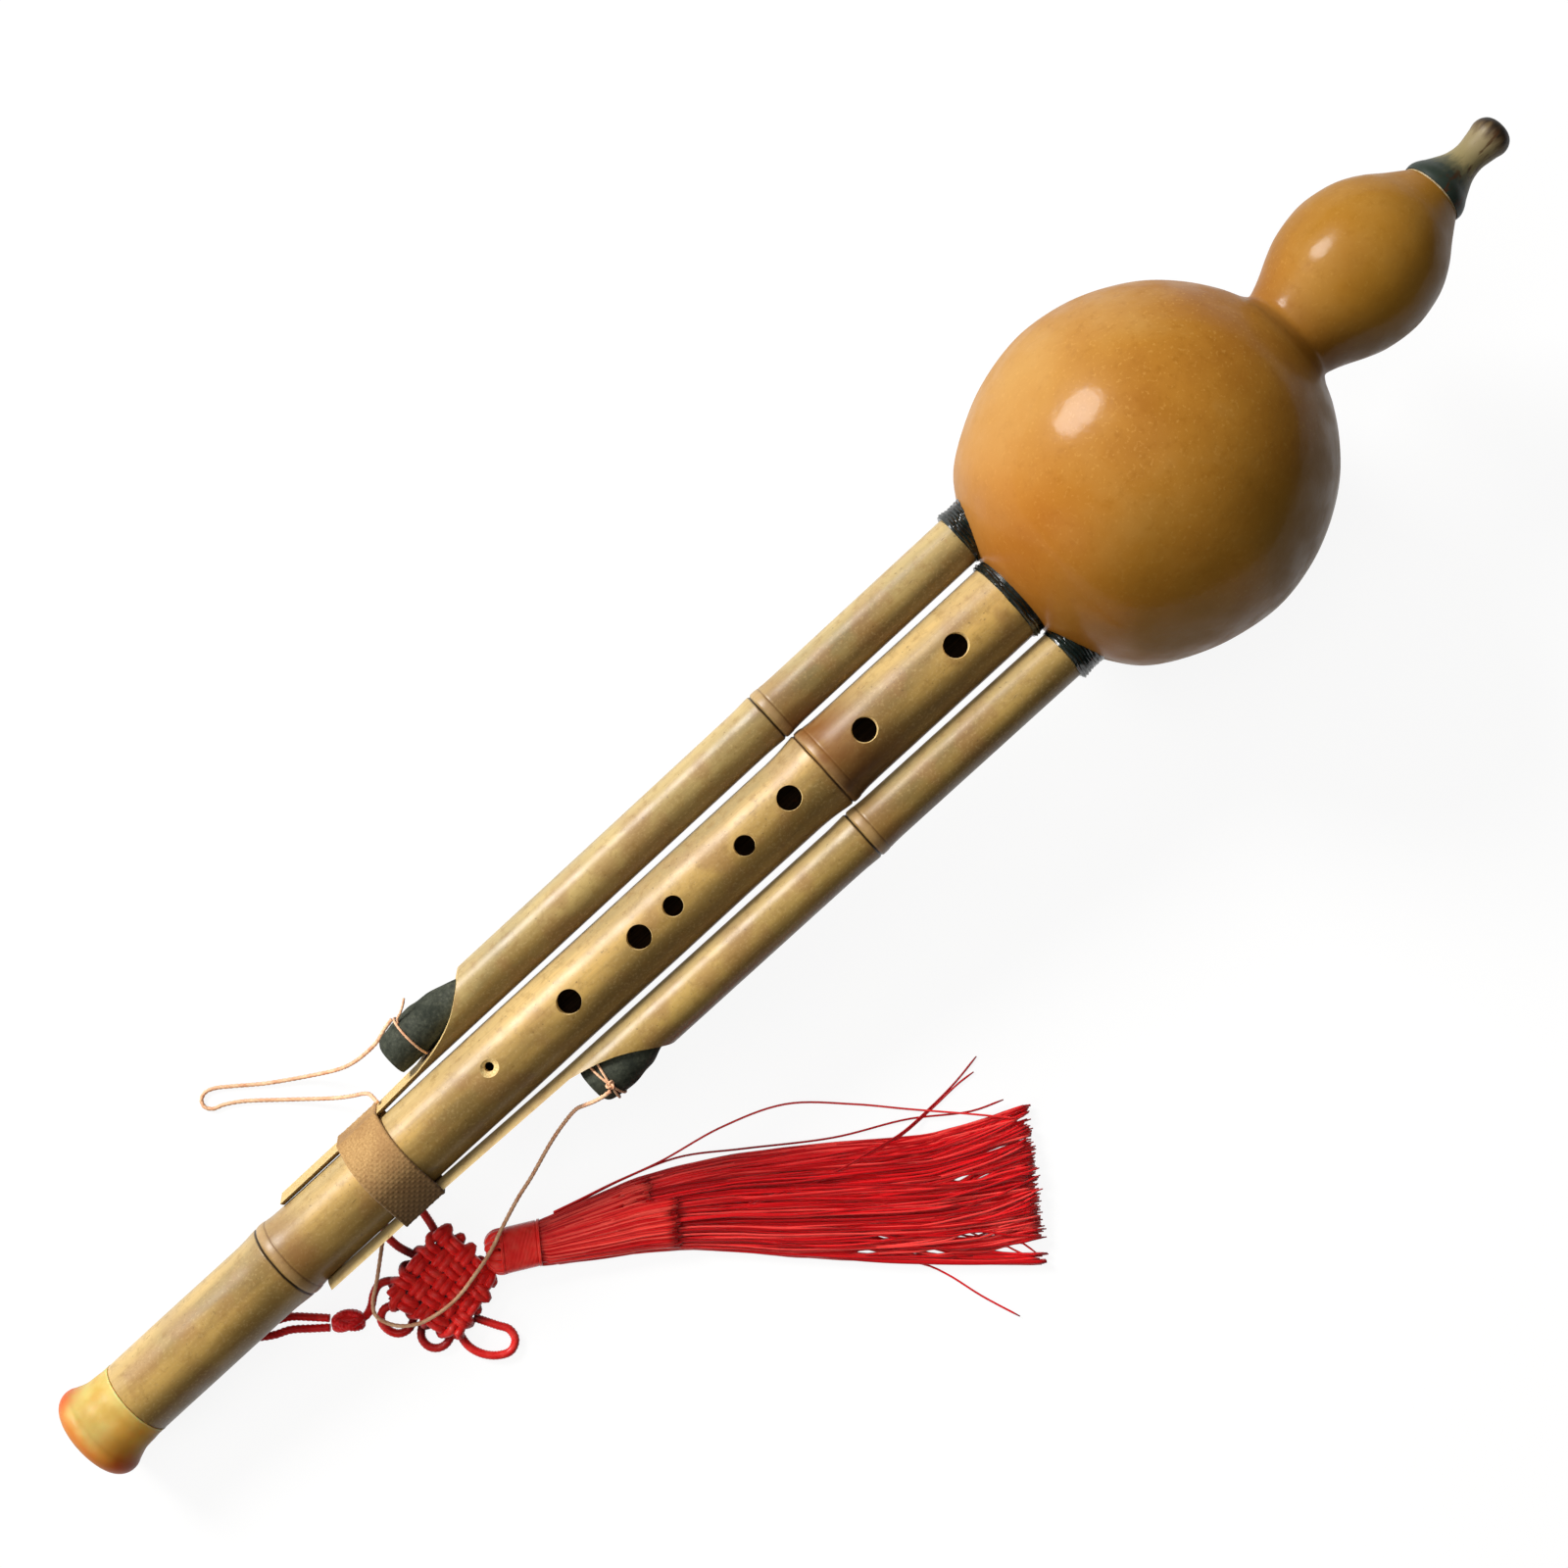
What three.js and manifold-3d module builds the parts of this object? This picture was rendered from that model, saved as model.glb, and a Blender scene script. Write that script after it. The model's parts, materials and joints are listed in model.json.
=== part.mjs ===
// A hulusi: a gourd wind chest with a mouthpiece, a fingered bamboo pipe between two bamboo
// drones, stoppers on their tethers, and a red lanyard with its knots and tassel.
// Millimetres, +Z up. It lies with its finger holes up, resting on the gourd and on the rim
// of the bell ring, with the long axis along X and the mouthpiece at the +X end.
import * as THREE from 'three';
import { mergeVertices } from 'three/addons/utils/BufferGeometryUtils.js';
import Module from 'manifold-3d';

const wasm = await Module();
wasm.setup();

// Clearances and cuts
const gap = 0.3; // between a piece and its seat
const overrun = 5; // how far a cutter passes what it cuts
const weld = 1e-4; // corners closer than this are one corner

// Facets of the turned pieces
const gourdSides = 28;
const pipeSides = 28;
const droneSides = 20;
const smallSides = 16;
const cordSides = 8;
const earSides = 6;

// Length of a cord's steps, in diameters
const strandStep = 1;
const tetherStep = 2.5;
const earStep = 2;

// Gourd, measured from the centre of its large bulb
const gourdRadius = 45.2;
const gourdFootReach = 43.1; // to the flattened pole that the pipes enter
const neckReach = 47;
const neckRadius = 13.4;
const crownReach = 70.4;
const crownRadius = 20.5;
const mouthReach = 95;
const mouthRadius = 8.7;
const gourdWall = 3.2;
const mouthWall = 5; // solid gourd left round the mouthpiece's spigot
const gourdLean = THREE.MathUtils.degToRad(1.9); // the upper bulb grows to one side

// Outline of the gourd, as shares of the sizes above
const footShares = [[1, 0], [0.993, 0.25], [0.935, 0.44], [0.835, 0.62], [0.729, 0.743],
  [0.51, 0.872], [0.292, 0.954], [0, 1]];
const shoulderShares = [[0.23, 0.971], [0.428, 0.9], [0.628, 0.774], [0.777, 0.622],
  [0.877, 0.482], [0.951, 0.347]];
const throatShares = [[0, 0], [0.103, 0.07], [0.252, 0.268], [0.453, 0.585], [0.65, 0.83], [1, 1]];
const crownShares = [[0.24, 0.94], [0.43, 0.82], [0.618, 0.6], [0.809, 0.29], [1, 0]];

// Mouthpiece and the seal under it
const mouthpieceLength = 21.5;
const mouthpieceBaseRadius = 8.6;
const mouthpieceWaistRadius = 4;
const mouthpieceTipRadius = 5.1;
const mouthpieceBore = 1.9; // radius
const spigotRadius = 4.2;
const spigotLength = 8;
const sealThickness = 0.9;
const flareShares = [[0, 0.97], [0.05, 1], [0.1, 0.98], [0.153, 0.76], [0.257, 0.457],
  [0.358, 0.196], [0.458, 0.04], [0.563, 0]];
const beakShares = [[0.664, 0.27], [0.768, 0.64], [0.847, 1], [0.917, 0.8], [0.975, 0.1],
  [1, -0.6]];

// Main pipe, measured from the open end of the bell ring
const bellToGourd = 341.6; // to the centre of the large bulb
const footRadius = 10.1;
const middleRadius = 10.1;
const topRadius = 10.5;
const boreRadius = 7;
const pipeReach = 41; // how far the pipe stands inside the gourd's pole
const footNodeAt = 63.4;
const mainNodeAt = 237.3;
const nodeLength = 6.5; // how far a node swells the bamboo each way
const footNodeSwell = 0.5;
const mainNodeSwell = 0.5;

// Finger holes: places along the pipe, sideways shifts, radii
const holeRadius = 2.85;
const smallHoleRadius = 2.4;
const ventRadius = 1.15;
const holeTable = [
  { at: 279.8, aside: 0.4, radius: holeRadius },
  { at: 250.6, aside: 0.3, radius: holeRadius },
  { at: 226.7, aside: 0.4, radius: holeRadius },
  { at: 211.4, aside: -0.8, radius: smallHoleRadius },
  { at: 189.4, aside: 0.1, radius: smallHoleRadius },
  { at: 178.6, aside: 0.1, radius: holeRadius },
  { at: 156.2, aside: 0, radius: holeRadius },
  { at: 131.9, aside: 1.4, radius: ventRadius },
];
const thumbHoleAt = 265.8; // through the back wall
const lanyardHoleAt = 43; // between the two holes in the back wall
const lanyardHoleSpacing = 4.4;
const lanyardHoleRadius = 1.5;

// Bell ring on the pipe's foot
const bellLength = 15.3;
const bellRimRadius = 12.3;
const beadRadius = 3.4;
const beadShare = 0.7; // of half a turn that the bead's round edge takes
const bellSwellShares = [[0.5, 0.05], [1, 0.125]]; // toward the bead: along, and of the bead outward
const bellBore = 8.3; // radius at the mouth
const tenonRadius = 8.3;
const tenonLength = 8.7;

// Drones: distance of their axes from the pipe's, at the gourd and at the binding
const collarStand = 2.5; // from the gourd's pole to the collar plane
const collarAt = bellToGourd - gourdFootReach - collarStand;
const bindingAt = 97.5;
const droneSpacing = 18.4;
const bindingSpacing = 17.35;
const droneRadius = 6.45;
const droneBore = 4.5; // radius
const droneReach = 30; // how far a drone stands inside the gourd's pole
const droneNodeSwell = 0.35;
const leftNodeAt = 235.9;
const rightNodeAt = 233.8;
const leftCutAt = 141.3;
const rightCutAt = 167.5;
const leftSplintEnd = 72.3;
const rightSplintEnd = 68.1;
const cutLength = 24.1; // of the scooped opening
const splintFace = 4.6; // from the drone's axis to the splint's flat face
const cutShares = [[0, 1], [0.17, 0.5], [0.36, 0], [0.55, -0.34], [0.75, -0.57]];

// Binding band round the pipe and both splints
const bandWidth = 12.4;
const bandThickness = 0.6;

// Wax collars where the pipes enter the gourd
const mainLipRadius = 11.3;
const droneLipRadius = 7.5;
const collarShift = 0.5; // the drone collars lean away from the pipe
const mainCollarLead = 0; // from the collar plane to the lip
const droneCollarLead = 1.8;
const collarLength = 16;
const collarShares = [[0, 0.955], [0.02, 0.99], [0.06, 1], [0.1, 0.985], [0.16, 0.945],
  [0.28, 0.945], [0.42, 0.96], [0.55, 1.02], [0.66, 1.12], [1, 1.2]];

// Reeds: a brass plate over a window in each pipe's upper end, with a tongue cut in it
const mainPlate = {
  length: 22,
  width: 7.6,
  thickness: 0.6,
  slotBase: 3.6,
  slotLength: 13.5,
  inset: 1, // from the pipe's inner end
};
const dronePlate = {
  length: 17,
  width: 5.2,
  thickness: 0.5,
  slotBase: 2.8,
  slotLength: 10.5,
  inset: 3.5,
};
const tongueThickness = 0.3;
const mainFlat = 9; // from the pipe's axis to the flat under the plate
const droneFlat = 5.5;
const plugLength = 5;
const plugCap = 1.5;

// Stoppers in the drones' cut ends
const stopperRadius = 5.7;
const stopperFlat = 3.7; // from the drone's axis to the side that slides on the splint
const stopperEngaged = 6.3; // length inside the full bore
const leftStopperLength = 26.7; // past the start of the cut
const rightStopperLength = 21.8;
const noseShares = [[0, 0.56], [0.2, 0.6], [1, 0.69]];
const bulbShares = [[0.16, 0.81], [0.33, 0.93], [0.51, 0.975], [0.68, 1], [0.86, 0.95],
  [0.97, 0.88], [1, 0.8]];
const leftTieShare = 0.73;
const rightTieShare = 0.82;
const tetherRadius = 0.53;

// Lanyard: a stop knot in the bore, two strands to a button knot, a pan chang knot, a tassel.
// Places on the table are measured from the middle of the instrument's box.
const strandRadius = 1.05;
const tableGap = 0.1; // under what lies on the table
const stopKnotLength = 7;
const stopKnotRadius = 2;
const buttonX = -166.6;
const buttonY = -21.4;
const buttonTurn = THREE.MathUtils.degToRad(-38.4);
const buttonLength = 8.6;
const buttonRadius = 2.9;
const buttonShares = [[-0.5, 0], [-0.5, 0.7], [-0.38, 0.93], [-0.15, 1], [0.15, 1], [0.38, 0.93],
  [0.5, 0.7], [0.5, 0]];
const knotX = -144.5;
const knotY = -30.2;
const knotTurn = THREE.MathUtils.degToRad(-20.8);
const rowCount = 5; // doubled cords each way
const rowPitch = 4.2;
const rowReach = 11.7; // half of a row's length
const rowHeight = 2.9;
const layerShare = 0.8; // of a row's height, from one layer's middle to the other's
const rowShares = [[-1, 0], [-0.97, 0.6], [-0.87, 1], [0.87, 1], [0.97, 0.6], [1, 0]];
const tasselX = -119.56;
const tasselY = -38.97;
const tasselTurn = THREE.MathUtils.degToRad(-36.9);
const skirtLength = 123.4;
const skirtReach = 21.1; // from the tassel's axis to the widest edge
const tasselHeight = 8;
const neckHalfWidth = 5.8; // half of the neck's width
const sleeveLength = 9.3;
const sleeveWall = 0.9;
const headLength = 4;
const headShift = -1.7; // the head leans to one side of the skirt's axis
const sectionPoints = 12;
const sectionShare = 0.75; // how full a lying bundle's section is

// Skirt of the tassel: shares of its length, of its reach on both sides, and of its height
const skirtShares = [[0.005, 0.25, -0.27, 1], [0.1, 0.43, -0.27, 0.97], [0.2, 0.61, -0.26, 0.93],
  [0.3, 0.71, -0.29, 0.88], [0.4, 0.77, -0.38, 0.84], [0.5, 0.785, -0.51, 0.8],
  [0.6, 0.79, -0.61, 0.76], [0.7, 0.77, -0.69, 0.72], [0.8, 0.765, -0.78, 0.68],
  [0.9, 0.86, -0.86, 0.64], [1, 1, -0.93, 0.6]];

// Routes of the cords, point by point
const strandRoutes = {
  first: [[-182.77, 0, 9.02], [-182.66, 0, 7.9], [-182.54, 0, 6.7], [-182.44, -0.05, 5.5],
    [-182.7, -0.6, 3.9], [-183.7, -2, 2.4], [-184.6, -4, 1.6], [-183.8, -6.5, 1.2],
    [-180.6, -8.8, 1.2], [-176.6, -10.9, 1.2], [-172.6, -14.6, 1.8], [-169.5, -17.65, 2.7]],
  second: [[-187.15, 0, 8.6], [-187.04, 0, 7.5], [-186.92, 0, 6.3], [-186.82, -0.05, 5.1],
    [-187, -0.6, 3.7], [-187.7, -2.2, 2.4], [-188, -5, 1.6], [-186.1, -8.6, 1.2],
    [-182.4, -11.5, 1.2], [-178.5, -13.4, 1.2], [-174.5, -16.6, 1.8], [-170.95, -19.45, 2.7]],
};
const tetherRoutes = {
  left: [[-108.2, 25.5, 21.2], [-111, 25, 20.3], [-114.4, 24, 19.3], [-119, 23.9, 15.6],
    [-122.9, 24.4, 11.4], [-126.9, 25.7, 6.6], [-132.6, 28.8, 2.2], [-142.9, 35.4, 0.8],
    [-149.6, 40.6, 0.7], [-152.9, 43, 0.7], [-155.2, 43.8, 0.7], [-157.1, 43.1, 0.7],
    [-157.7, 41.2, 0.7], [-156.5, 39.5, 0.7], [-154.2, 38.6, 0.7], [-150.3, 36.2, 0.7],
    [-142.1, 29.2, 0.8], [-132.9, 21.4, 3.6],
    [-128.6, 18.6, 9], [-125.6, 17, 14.6], [-124.2, 15.6, 18.8], [-124, 13.15, 20.6]],
  right: [[-80.95, -22.2, 32.2], [-83.3, -22, 31.4], [-85.9, -21.4, 29.2], [-88, -20.8, 25.3],
    [-90.6, -20.3, 20.4], [-95.3, -21, 16.6], [-100.8, -22.4, 13.9], [-110.1, -25.5, 10.7],
    [-115.6, -27, 9.7], [-122.7, -29.5, 9.2], [-129.3, -32.1, 9], [-136.2, -33.8, 8.6],
    [-142.3, -34.9, 7.9], [-147.7, -34.8, 7.4], [-153.8, -33.3, 7.1], [-157.8, -30.4, 6.9],
    [-159.9, -26.8, 6.8], [-160.2, -24.3, 6.7], [-158.4, -21.6, 6.5], [-155.2, -19.2, 6.4],
    [-149.5, -14.5, 6.1], [-142, -8.2, 5.7], [-134.4, -2.4, 5.6], [-131, -0.4, 7.5],
    [-130.3, 0, 9.85]],
};

// Ears of the pan chang knot, point by point
const earRoutes = [
  [[-162.3, -24.9, 2.9], [-161, -24.9, 2.7], [-159.2, -24.4, 2.5], [-155.4, -25.2, 2.2]],
  [[-152, -33.2, 1.3], [-154.9, -34.8, 1.2], [-156.6, -36.6, 1.2], [-156.8, -39.1, 1.2],
    [-155.6, -41, 1.2], [-153.5, -41.8, 1.2], [-150.9, -41.1, 1.2], [-147, -38.4, 1.3]],
  [[-148.7, -40, 1.3], [-149.6, -45.8, 1.2], [-148.4, -49.6, 1.2], [-145.8, -52.6, 1.2],
    [-142.8, -53.9, 1.2], [-140.2, -52.6, 1.2], [-139.6, -49.8, 1.2], [-141.2, -46.8, 1.2],
    [-144, -41.6, 1.3]],
  [[-155.4, -26.2, 1.6], [-158.7, -25.2, 1.3], [-160.9, -26.6, 1.2], [-161.3, -29.4, 1.2],
    [-160, -32, 1.2], [-157.4, -32.9, 1.2], [-153.2, -30.8, 1.3]],
  [[-137.6, -22.6, 1.4], [-136.2, -16.6, 1.3], [-136, -12, 1.2], [-138, -8.8, 1.2],
    [-142.4, -8.4, 1.2], [-145.8, -11.2, 1.2], [-146, -15.6, 1.3], [-144.2, -21, 1.4]],
];

const finish = (color, roughness = 0.5, metalness = 0) =>
  new THREE.MeshStandardMaterial({ color, roughness, metalness, flatShading: true });
const looks = {
  gourd: finish(0xc8863f, 0.3),
  bamboo: finish(0xb9975a, 0.5),
  wax: finish(0x141c18, 0.25),
  bone: finish(0xb5a581, 0.35),
  seal: finish(0xcdbb92, 0.5),
  amber: finish(0xdcbc5c, 0.25),
  brass: finish(0xc9a44a, 0.3, 1),
  plug: finish(0x3b413a, 0.8),
  band: finish(0xb58f58, 0.85),
  tether: finish(0xc8966e, 0.6),
  red: finish(0xc8141a, 0.7),
};

// A closed solid of a geometry's triangles, with its shared corners merged.
function solid(geometry) {
  const bare = new THREE.BufferGeometry();
  bare.setAttribute('position', geometry.getAttribute('position').clone());
  if (geometry.index) bare.setIndex(geometry.index.clone());
  const merged = mergeVertices(bare, weld);
  const at = merged.getAttribute('position');
  const corners = [...merged.index.array];
  const kept = [];
  let volume = 0;
  for (let i = 0; i < corners.length; i += 3) {
    const [a, b, c] = corners.slice(i, i + 3);
    if (a === b || b === c || c === a) continue;
    kept.push([a, b, c]);
    const [p, q, r] = [a, b, c].map((n) => new THREE.Vector3().fromBufferAttribute(at, n));
    volume += p.dot(q.cross(r));
  }
  const facing = volume < 0 ? kept.map(([a, b, c]) => [a, c, b]) : kept;
  return new wasm.Manifold(new wasm.Mesh({
    numProp: 3,
    vertProperties: Float32Array.from(at.array),
    triVerts: Uint32Array.from(facing.flat()),
  }));
}

// A named mesh of a solid.
function piece(name, body, material) {
  const { vertProperties, numProp, triVerts } = body.getMesh();
  const corners = [];
  for (const v of triVerts) {
    corners.push(...vertProperties.slice(v * numProp, v * numProp + 3));
  }
  const geometry = new THREE.BufferGeometry();
  geometry.setAttribute('position', new THREE.Float32BufferAttribute(corners, 3));
  geometry.computeVertexNormals();
  const mesh = new THREE.Mesh(geometry, material);
  mesh.name = name;
  return mesh;
}

// A turned piece along X from [along, radius] points, with facets square to Z.
function turned(points, sides) {
  const outline = points.map(([along, radius]) => new THREE.Vector2(radius, along));
  const lathe = new THREE.LatheGeometry(outline, sides, Math.PI / sides);
  return lathe.rotateZ(-Math.PI / 2);
}

// A turned ring: its outline closes on itself.
const ring = (points, sides) => turned([...points, points[0]], sides);

// A cylinder along X between two places.
function rod(from, to, radius, sides) {
  return turned([[from, 0], [from, radius], [to, radius], [to, 0]], sides);
}

// A cylinder along Z, for holes through a pipe's wall.
function drill(x, y, radius, from, to, sides = smallSides) {
  const tool = rod(from, to, radius, sides).rotateY(-Math.PI / 2);
  return tool.translate(x, y, 0);
}

// A flat outline of [x, y] points, thickened along Z about its middle.
function slab(points, depth, holes = []) {
  const shape = new THREE.Shape(points.map(([x, y]) => new THREE.Vector2(x, y)));
  for (const hole of holes) {
    shape.holes.push(new THREE.Path(hole.map(([x, y]) => new THREE.Vector2(x, y))));
  }
  const geometry = new THREE.ExtrudeGeometry(shape, { depth, bevelEnabled: false });
  return geometry.translate(0, 0, -depth / 2);
}

const box = (length, width, height) => new THREE.BoxGeometry(length, width, height);

// A tube along a smooth curve through points, closed at both ends.
function tube(points, radius, sides, steps) {
  const route = new THREE.CatmullRomCurve3(points.map((p) => new THREE.Vector3(...p)));
  const section = new THREE.Shape();
  for (let i = 0; i < sides; i += 1) {
    const turn = (2 * Math.PI * i) / sides;
    const corner = [radius * Math.cos(turn), radius * Math.sin(turn)];
    if (i === 0) section.moveTo(...corner);
    else section.lineTo(...corner);
  }
  return new THREE.ExtrudeGeometry(section, { steps, extrudePath: route, bevelEnabled: false });
}

// Steps of a tube: one for every so many diameters of its route.
function stepsOf(points, radius, diameters) {
  const route = new THREE.CatmullRomCurve3(points.map((p) => new THREE.Vector3(...p)));
  return Math.round(route.getLength() / (2 * radius * diameters));
}

// Gourd

// Outline of the gourd's skin, grown outwards by a margin, from the pole to the mouth.
function gourdOutline(margin) {
  const key = [
    ...footShares.map(([along, out]) => [-along * gourdFootReach, out * gourdRadius]),
    ...shoulderShares.map(([along, out]) => [along * neckReach, out * gourdRadius]),
    ...throatShares.map(([along, out]) => [
      neckReach + along * (crownReach - neckReach),
      neckRadius + out * (crownRadius - neckRadius),
    ]),
    ...crownShares.map(([along, out]) => [
      crownReach + along * (mouthReach - crownReach),
      mouthRadius + out * (crownRadius - mouthRadius),
    ]),
  ];
  return key.map(([along, radius], i) => {
    const [before, after] = [key[Math.max(0, i - 1)], key[Math.min(key.length - 1, i + 1)]];
    const run = Math.hypot(after[0] - before[0], after[1] - before[1]);
    const slope = [(after[0] - before[0]) / run, (after[1] - before[1]) / run];
    if (i === 0) return [along - margin, 0];
    return [along - slope[1] * margin, Math.max(0, radius + slope[0] * margin)];
  });
}

// The gourd's group stands at the centre of the large bulb.
const gourdPlace = new THREE.Matrix4().makeRotationZ(gourdLean);
gourdPlace.setPosition(bellToGourd, 0, 0);

// The drones' groups stand where their axes cross the collar plane.
const splay = Math.asin((droneSpacing - bindingSpacing) / (collarAt - bindingAt));
const dronePlaces = [1, -1].map((side) => {
  const place = new THREE.Matrix4().makeRotationZ(side * splay);
  return place.setPosition(collarAt, side * droneSpacing, 0);
});
const pipePlace = new THREE.Matrix4();

// A geometry made in one group's frame, as another group sees it.
function seenFrom(viewer, owner, geometry) {
  return geometry.applyMatrix4(viewer.clone().invert().multiply(owner));
}

// Solid of the gourd's whole outside, with a margin.
function gourdBulk(margin) {
  const outline = gourdOutline(margin);
  return turned([...outline, [outline[outline.length - 1][0], 0]], gourdSides);
}

function makeGourd() {
  const outer = gourdOutline(0);
  const hollow = gourdOutline(-gourdWall).filter(([along, radius], i) =>
    along < mouthReach - mouthWall && (i === 0 || radius > gourdWall));
  const spigotHole = spigotRadius + gap;
  const points = [
    ...outer,
    [mouthReach, spigotHole],
    [mouthReach - mouthWall, spigotHole],
    ...hollow.reverse(),
  ];
  let body = solid(turned(points, gourdSides));
  const entries = [[pipePlace, topRadius, bellToGourd - gourdFootReach],
    ...dronePlaces.map((place) => [place, droneRadius, bellToGourd - gourdFootReach - collarAt])];
  for (const [place, radius, pole] of entries) {
    const reach = gourdWall + overrun;
    const hole = rod(pole - reach, pole + reach + gourdWall, radius + gap, droneSides);
    body = body.subtract(solid(seenFrom(gourdPlace, place, hole)));
  }
  return piece('gourd', body, looks.gourd);
}

function makeMouthpiece() {
  const base = mouthReach + sealThickness + 2 * gap;
  const outline = [
    ...flareShares.map(([along, out]) => [
      base + along * mouthpieceLength,
      mouthpieceWaistRadius + out * (mouthpieceBaseRadius - mouthpieceWaistRadius),
    ]),
    ...beakShares.map(([along, out]) => [
      base + along * mouthpieceLength,
      mouthpieceWaistRadius + out * (mouthpieceTipRadius - mouthpieceWaistRadius),
    ]),
  ];
  const tip = base + mouthpieceLength;
  const points = [
    [base - spigotLength, mouthpieceBore],
    [base - spigotLength, spigotRadius],
    [base, spigotRadius],
    ...outline,
    [tip, mouthpieceBore],
  ];
  return piece('mouthpiece', solid(ring(points, droneSides)), looks.bone);
}

function makeSeal() {
  const from = mouthReach + gap;
  const to = from + sealThickness;
  const inner = spigotRadius + gap;
  const points = [[from, inner], [from, mouthRadius], [to, mouthRadius], [to, inner]];
  return piece('mouthpiece_seal', solid(ring(points, droneSides)), looks.seal);
}

// Main pipe

const pipeInnerEnd = bellToGourd - gourdFootReach + pipeReach;
const droneInnerEnd = bellToGourd - gourdFootReach + droneReach - collarAt;

// The swelling of a bamboo node: a rise, a ring and a fall about a place.
function node(at, below, above, swell) {
  return [
    [at - nodeLength, below],
    [at - nodeLength / 4, below + swell / 2],
    [at - nodeLength / 10, below + swell / 4],
    [at + nodeLength / 4, above + swell],
    [at + nodeLength / 2, above + swell],
    [at + nodeLength, above],
  ];
}

// Middle of a reed plate near a pipe's inner end.
const reedMiddle = (end, plate) => end - plate.inset - plate.length / 2;

// Flat and window for a reed plate near a pipe's inner end.
function cutReedSeat(body, end, flat, plate) {
  const middle = reedMiddle(end, plate);
  const flatHeight = overrun + flat;
  const shave = box(plate.length + 2 * gap, 4 * overrun, flatHeight);
  shave.translate(middle, 0, flat + flatHeight / 2);
  const window = box(plate.slotLength + gap, plate.slotBase, flatHeight);
  window.translate(middle, 0, flat);
  return body.subtract(solid(shave)).subtract(solid(window));
}

function makePipe() {
  const shoulder = bellLength + gap;
  const foot = shoulder - tenonLength;
  const outside = [
    [foot, tenonRadius],
    [shoulder, tenonRadius],
    [shoulder, footRadius],
    ...node(footNodeAt, footRadius, middleRadius, footNodeSwell),
    ...node(mainNodeAt, middleRadius, topRadius, mainNodeSwell),
    [pipeInnerEnd, topRadius],
  ];
  const points = [[foot, boreRadius], ...outside, [pipeInnerEnd, boreRadius]];
  let body = solid(ring(points, pipeSides));
  for (const { at, aside, radius } of holeTable) {
    const hole = drill(at, aside, radius, boreRadius / 2, topRadius + overrun);
    body = body.subtract(solid(hole));
  }
  const thumb = drill(thumbHoleAt, 0, holeRadius, -topRadius - overrun, -boreRadius / 2);
  body = body.subtract(solid(thumb));
  for (const side of [1, -1]) {
    const at = lanyardHoleAt + (side * lanyardHoleSpacing) / 2;
    const hole = drill(at, 0, lanyardHoleRadius, -footRadius - overrun, -boreRadius / 2);
    body = body.subtract(solid(hole));
  }
  body = cutReedSeat(body, pipeInnerEnd, mainFlat, mainPlate);
  return piece('main_pipe', body, looks.bamboo);
}

// Bell ring: a sleeve with a socket, a flare and a round bead at its mouth.
function makeBell() {
  const bead = [];
  const beadSteps = 7;
  for (let i = 0; i <= beadSteps; i += 1) {
    const turn = Math.PI * (1 - beadShare * (1 - i / beadSteps));
    bead.push([
      beadRadius * (1 + Math.cos(turn)),
      bellRimRadius - beadRadius * (1 - Math.sin(turn)),
    ]);
  }
  const flareFrom = 2 * beadRadius + beadRadius / 2;
  const swell = bellSwellShares.map(([along, out]) => [
    bellLength + along * (flareFrom - bellLength),
    footRadius + out * beadRadius,
  ]);
  const socket = bellLength - tenonLength;
  const points = [
    [bellLength, tenonRadius + gap],
    [bellLength, footRadius],
    ...swell,
    ...bead,
    [0, bellBore],
    [socket - beadRadius / 2, boreRadius],
    [socket, boreRadius],
    [socket, tenonRadius + gap],
  ];
  return piece('bell_ring', solid(ring(points, pipeSides)), looks.amber);
}

// Drones

// The drone's tube with its scooped opening and the splint left beyond it.
// A margin grows the wood all round, for the room that a stopper leaves to it.
function droneBody(side, cutAt, splintEnd, nodeAt, margin) {
  const from = splintEnd - collarAt - margin;
  const outer = droneRadius + margin;
  const inner = droneBore - margin;
  const outside = [
    [from, outer],
    ...node(nodeAt - collarAt, outer, outer, droneNodeSwell),
    [droneInnerEnd, outer],
  ];
  const body = solid(ring([[from, inner], ...outside, [droneInnerEnd, inner]], droneSides));
  const cut = cutAt - collarAt;
  const far = from - overrun;
  const high = outer + overrun;
  const edge = cutShares.map(([along, out]) => [cut - along * cutLength, out * droneRadius + margin]);
  const points = [
    [cut + cutLength * cutShares[1][0], high],
    ...edge,
    [cut - cutLength, margin - splintFace],
    [far, margin - splintFace],
    [far, high],
  ].map(([x, y]) => [x, side * y]);
  return body.subtract(solid(slab(points, 4 * droneRadius)));
}

function makeDrone(name, side, cutAt, splintEnd, nodeAt) {
  let body = droneBody(side, cutAt, splintEnd, nodeAt, 0);
  body = cutReedSeat(body, droneInnerEnd, droneFlat, dronePlate);
  return piece(`${name}_drone_pipe`, body, looks.bamboo);
}

// Stopper: a round plug whose inner side is straight and whose outer side bulges.
function stopperProfile(length) {
  return [
    ...noseShares.map(([along, out]) => [(1 - along) * stopperEngaged, out * stopperRadius]),
    ...bulbShares.map(([along, out]) => [-along * length, out * stopperRadius]),
  ];
}

// Radius of the stopper at a place along its profile.
function stopperRadiusAt(length, place) {
  const profile = stopperProfile(length);
  const next = profile.findIndex(([along]) => along <= place + weld);
  if (next < 1) return profile.at(next)[1];
  const [[a, r], [b, q]] = [profile[next - 1], profile[next]];
  return r + ((q - r) * (place - a)) / (b - a);
}

function stopperKeepOut(side, cutAt, splintEnd, nodeAt) {
  return droneBody(side, cutAt, splintEnd, nodeAt, gap);
}

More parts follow.
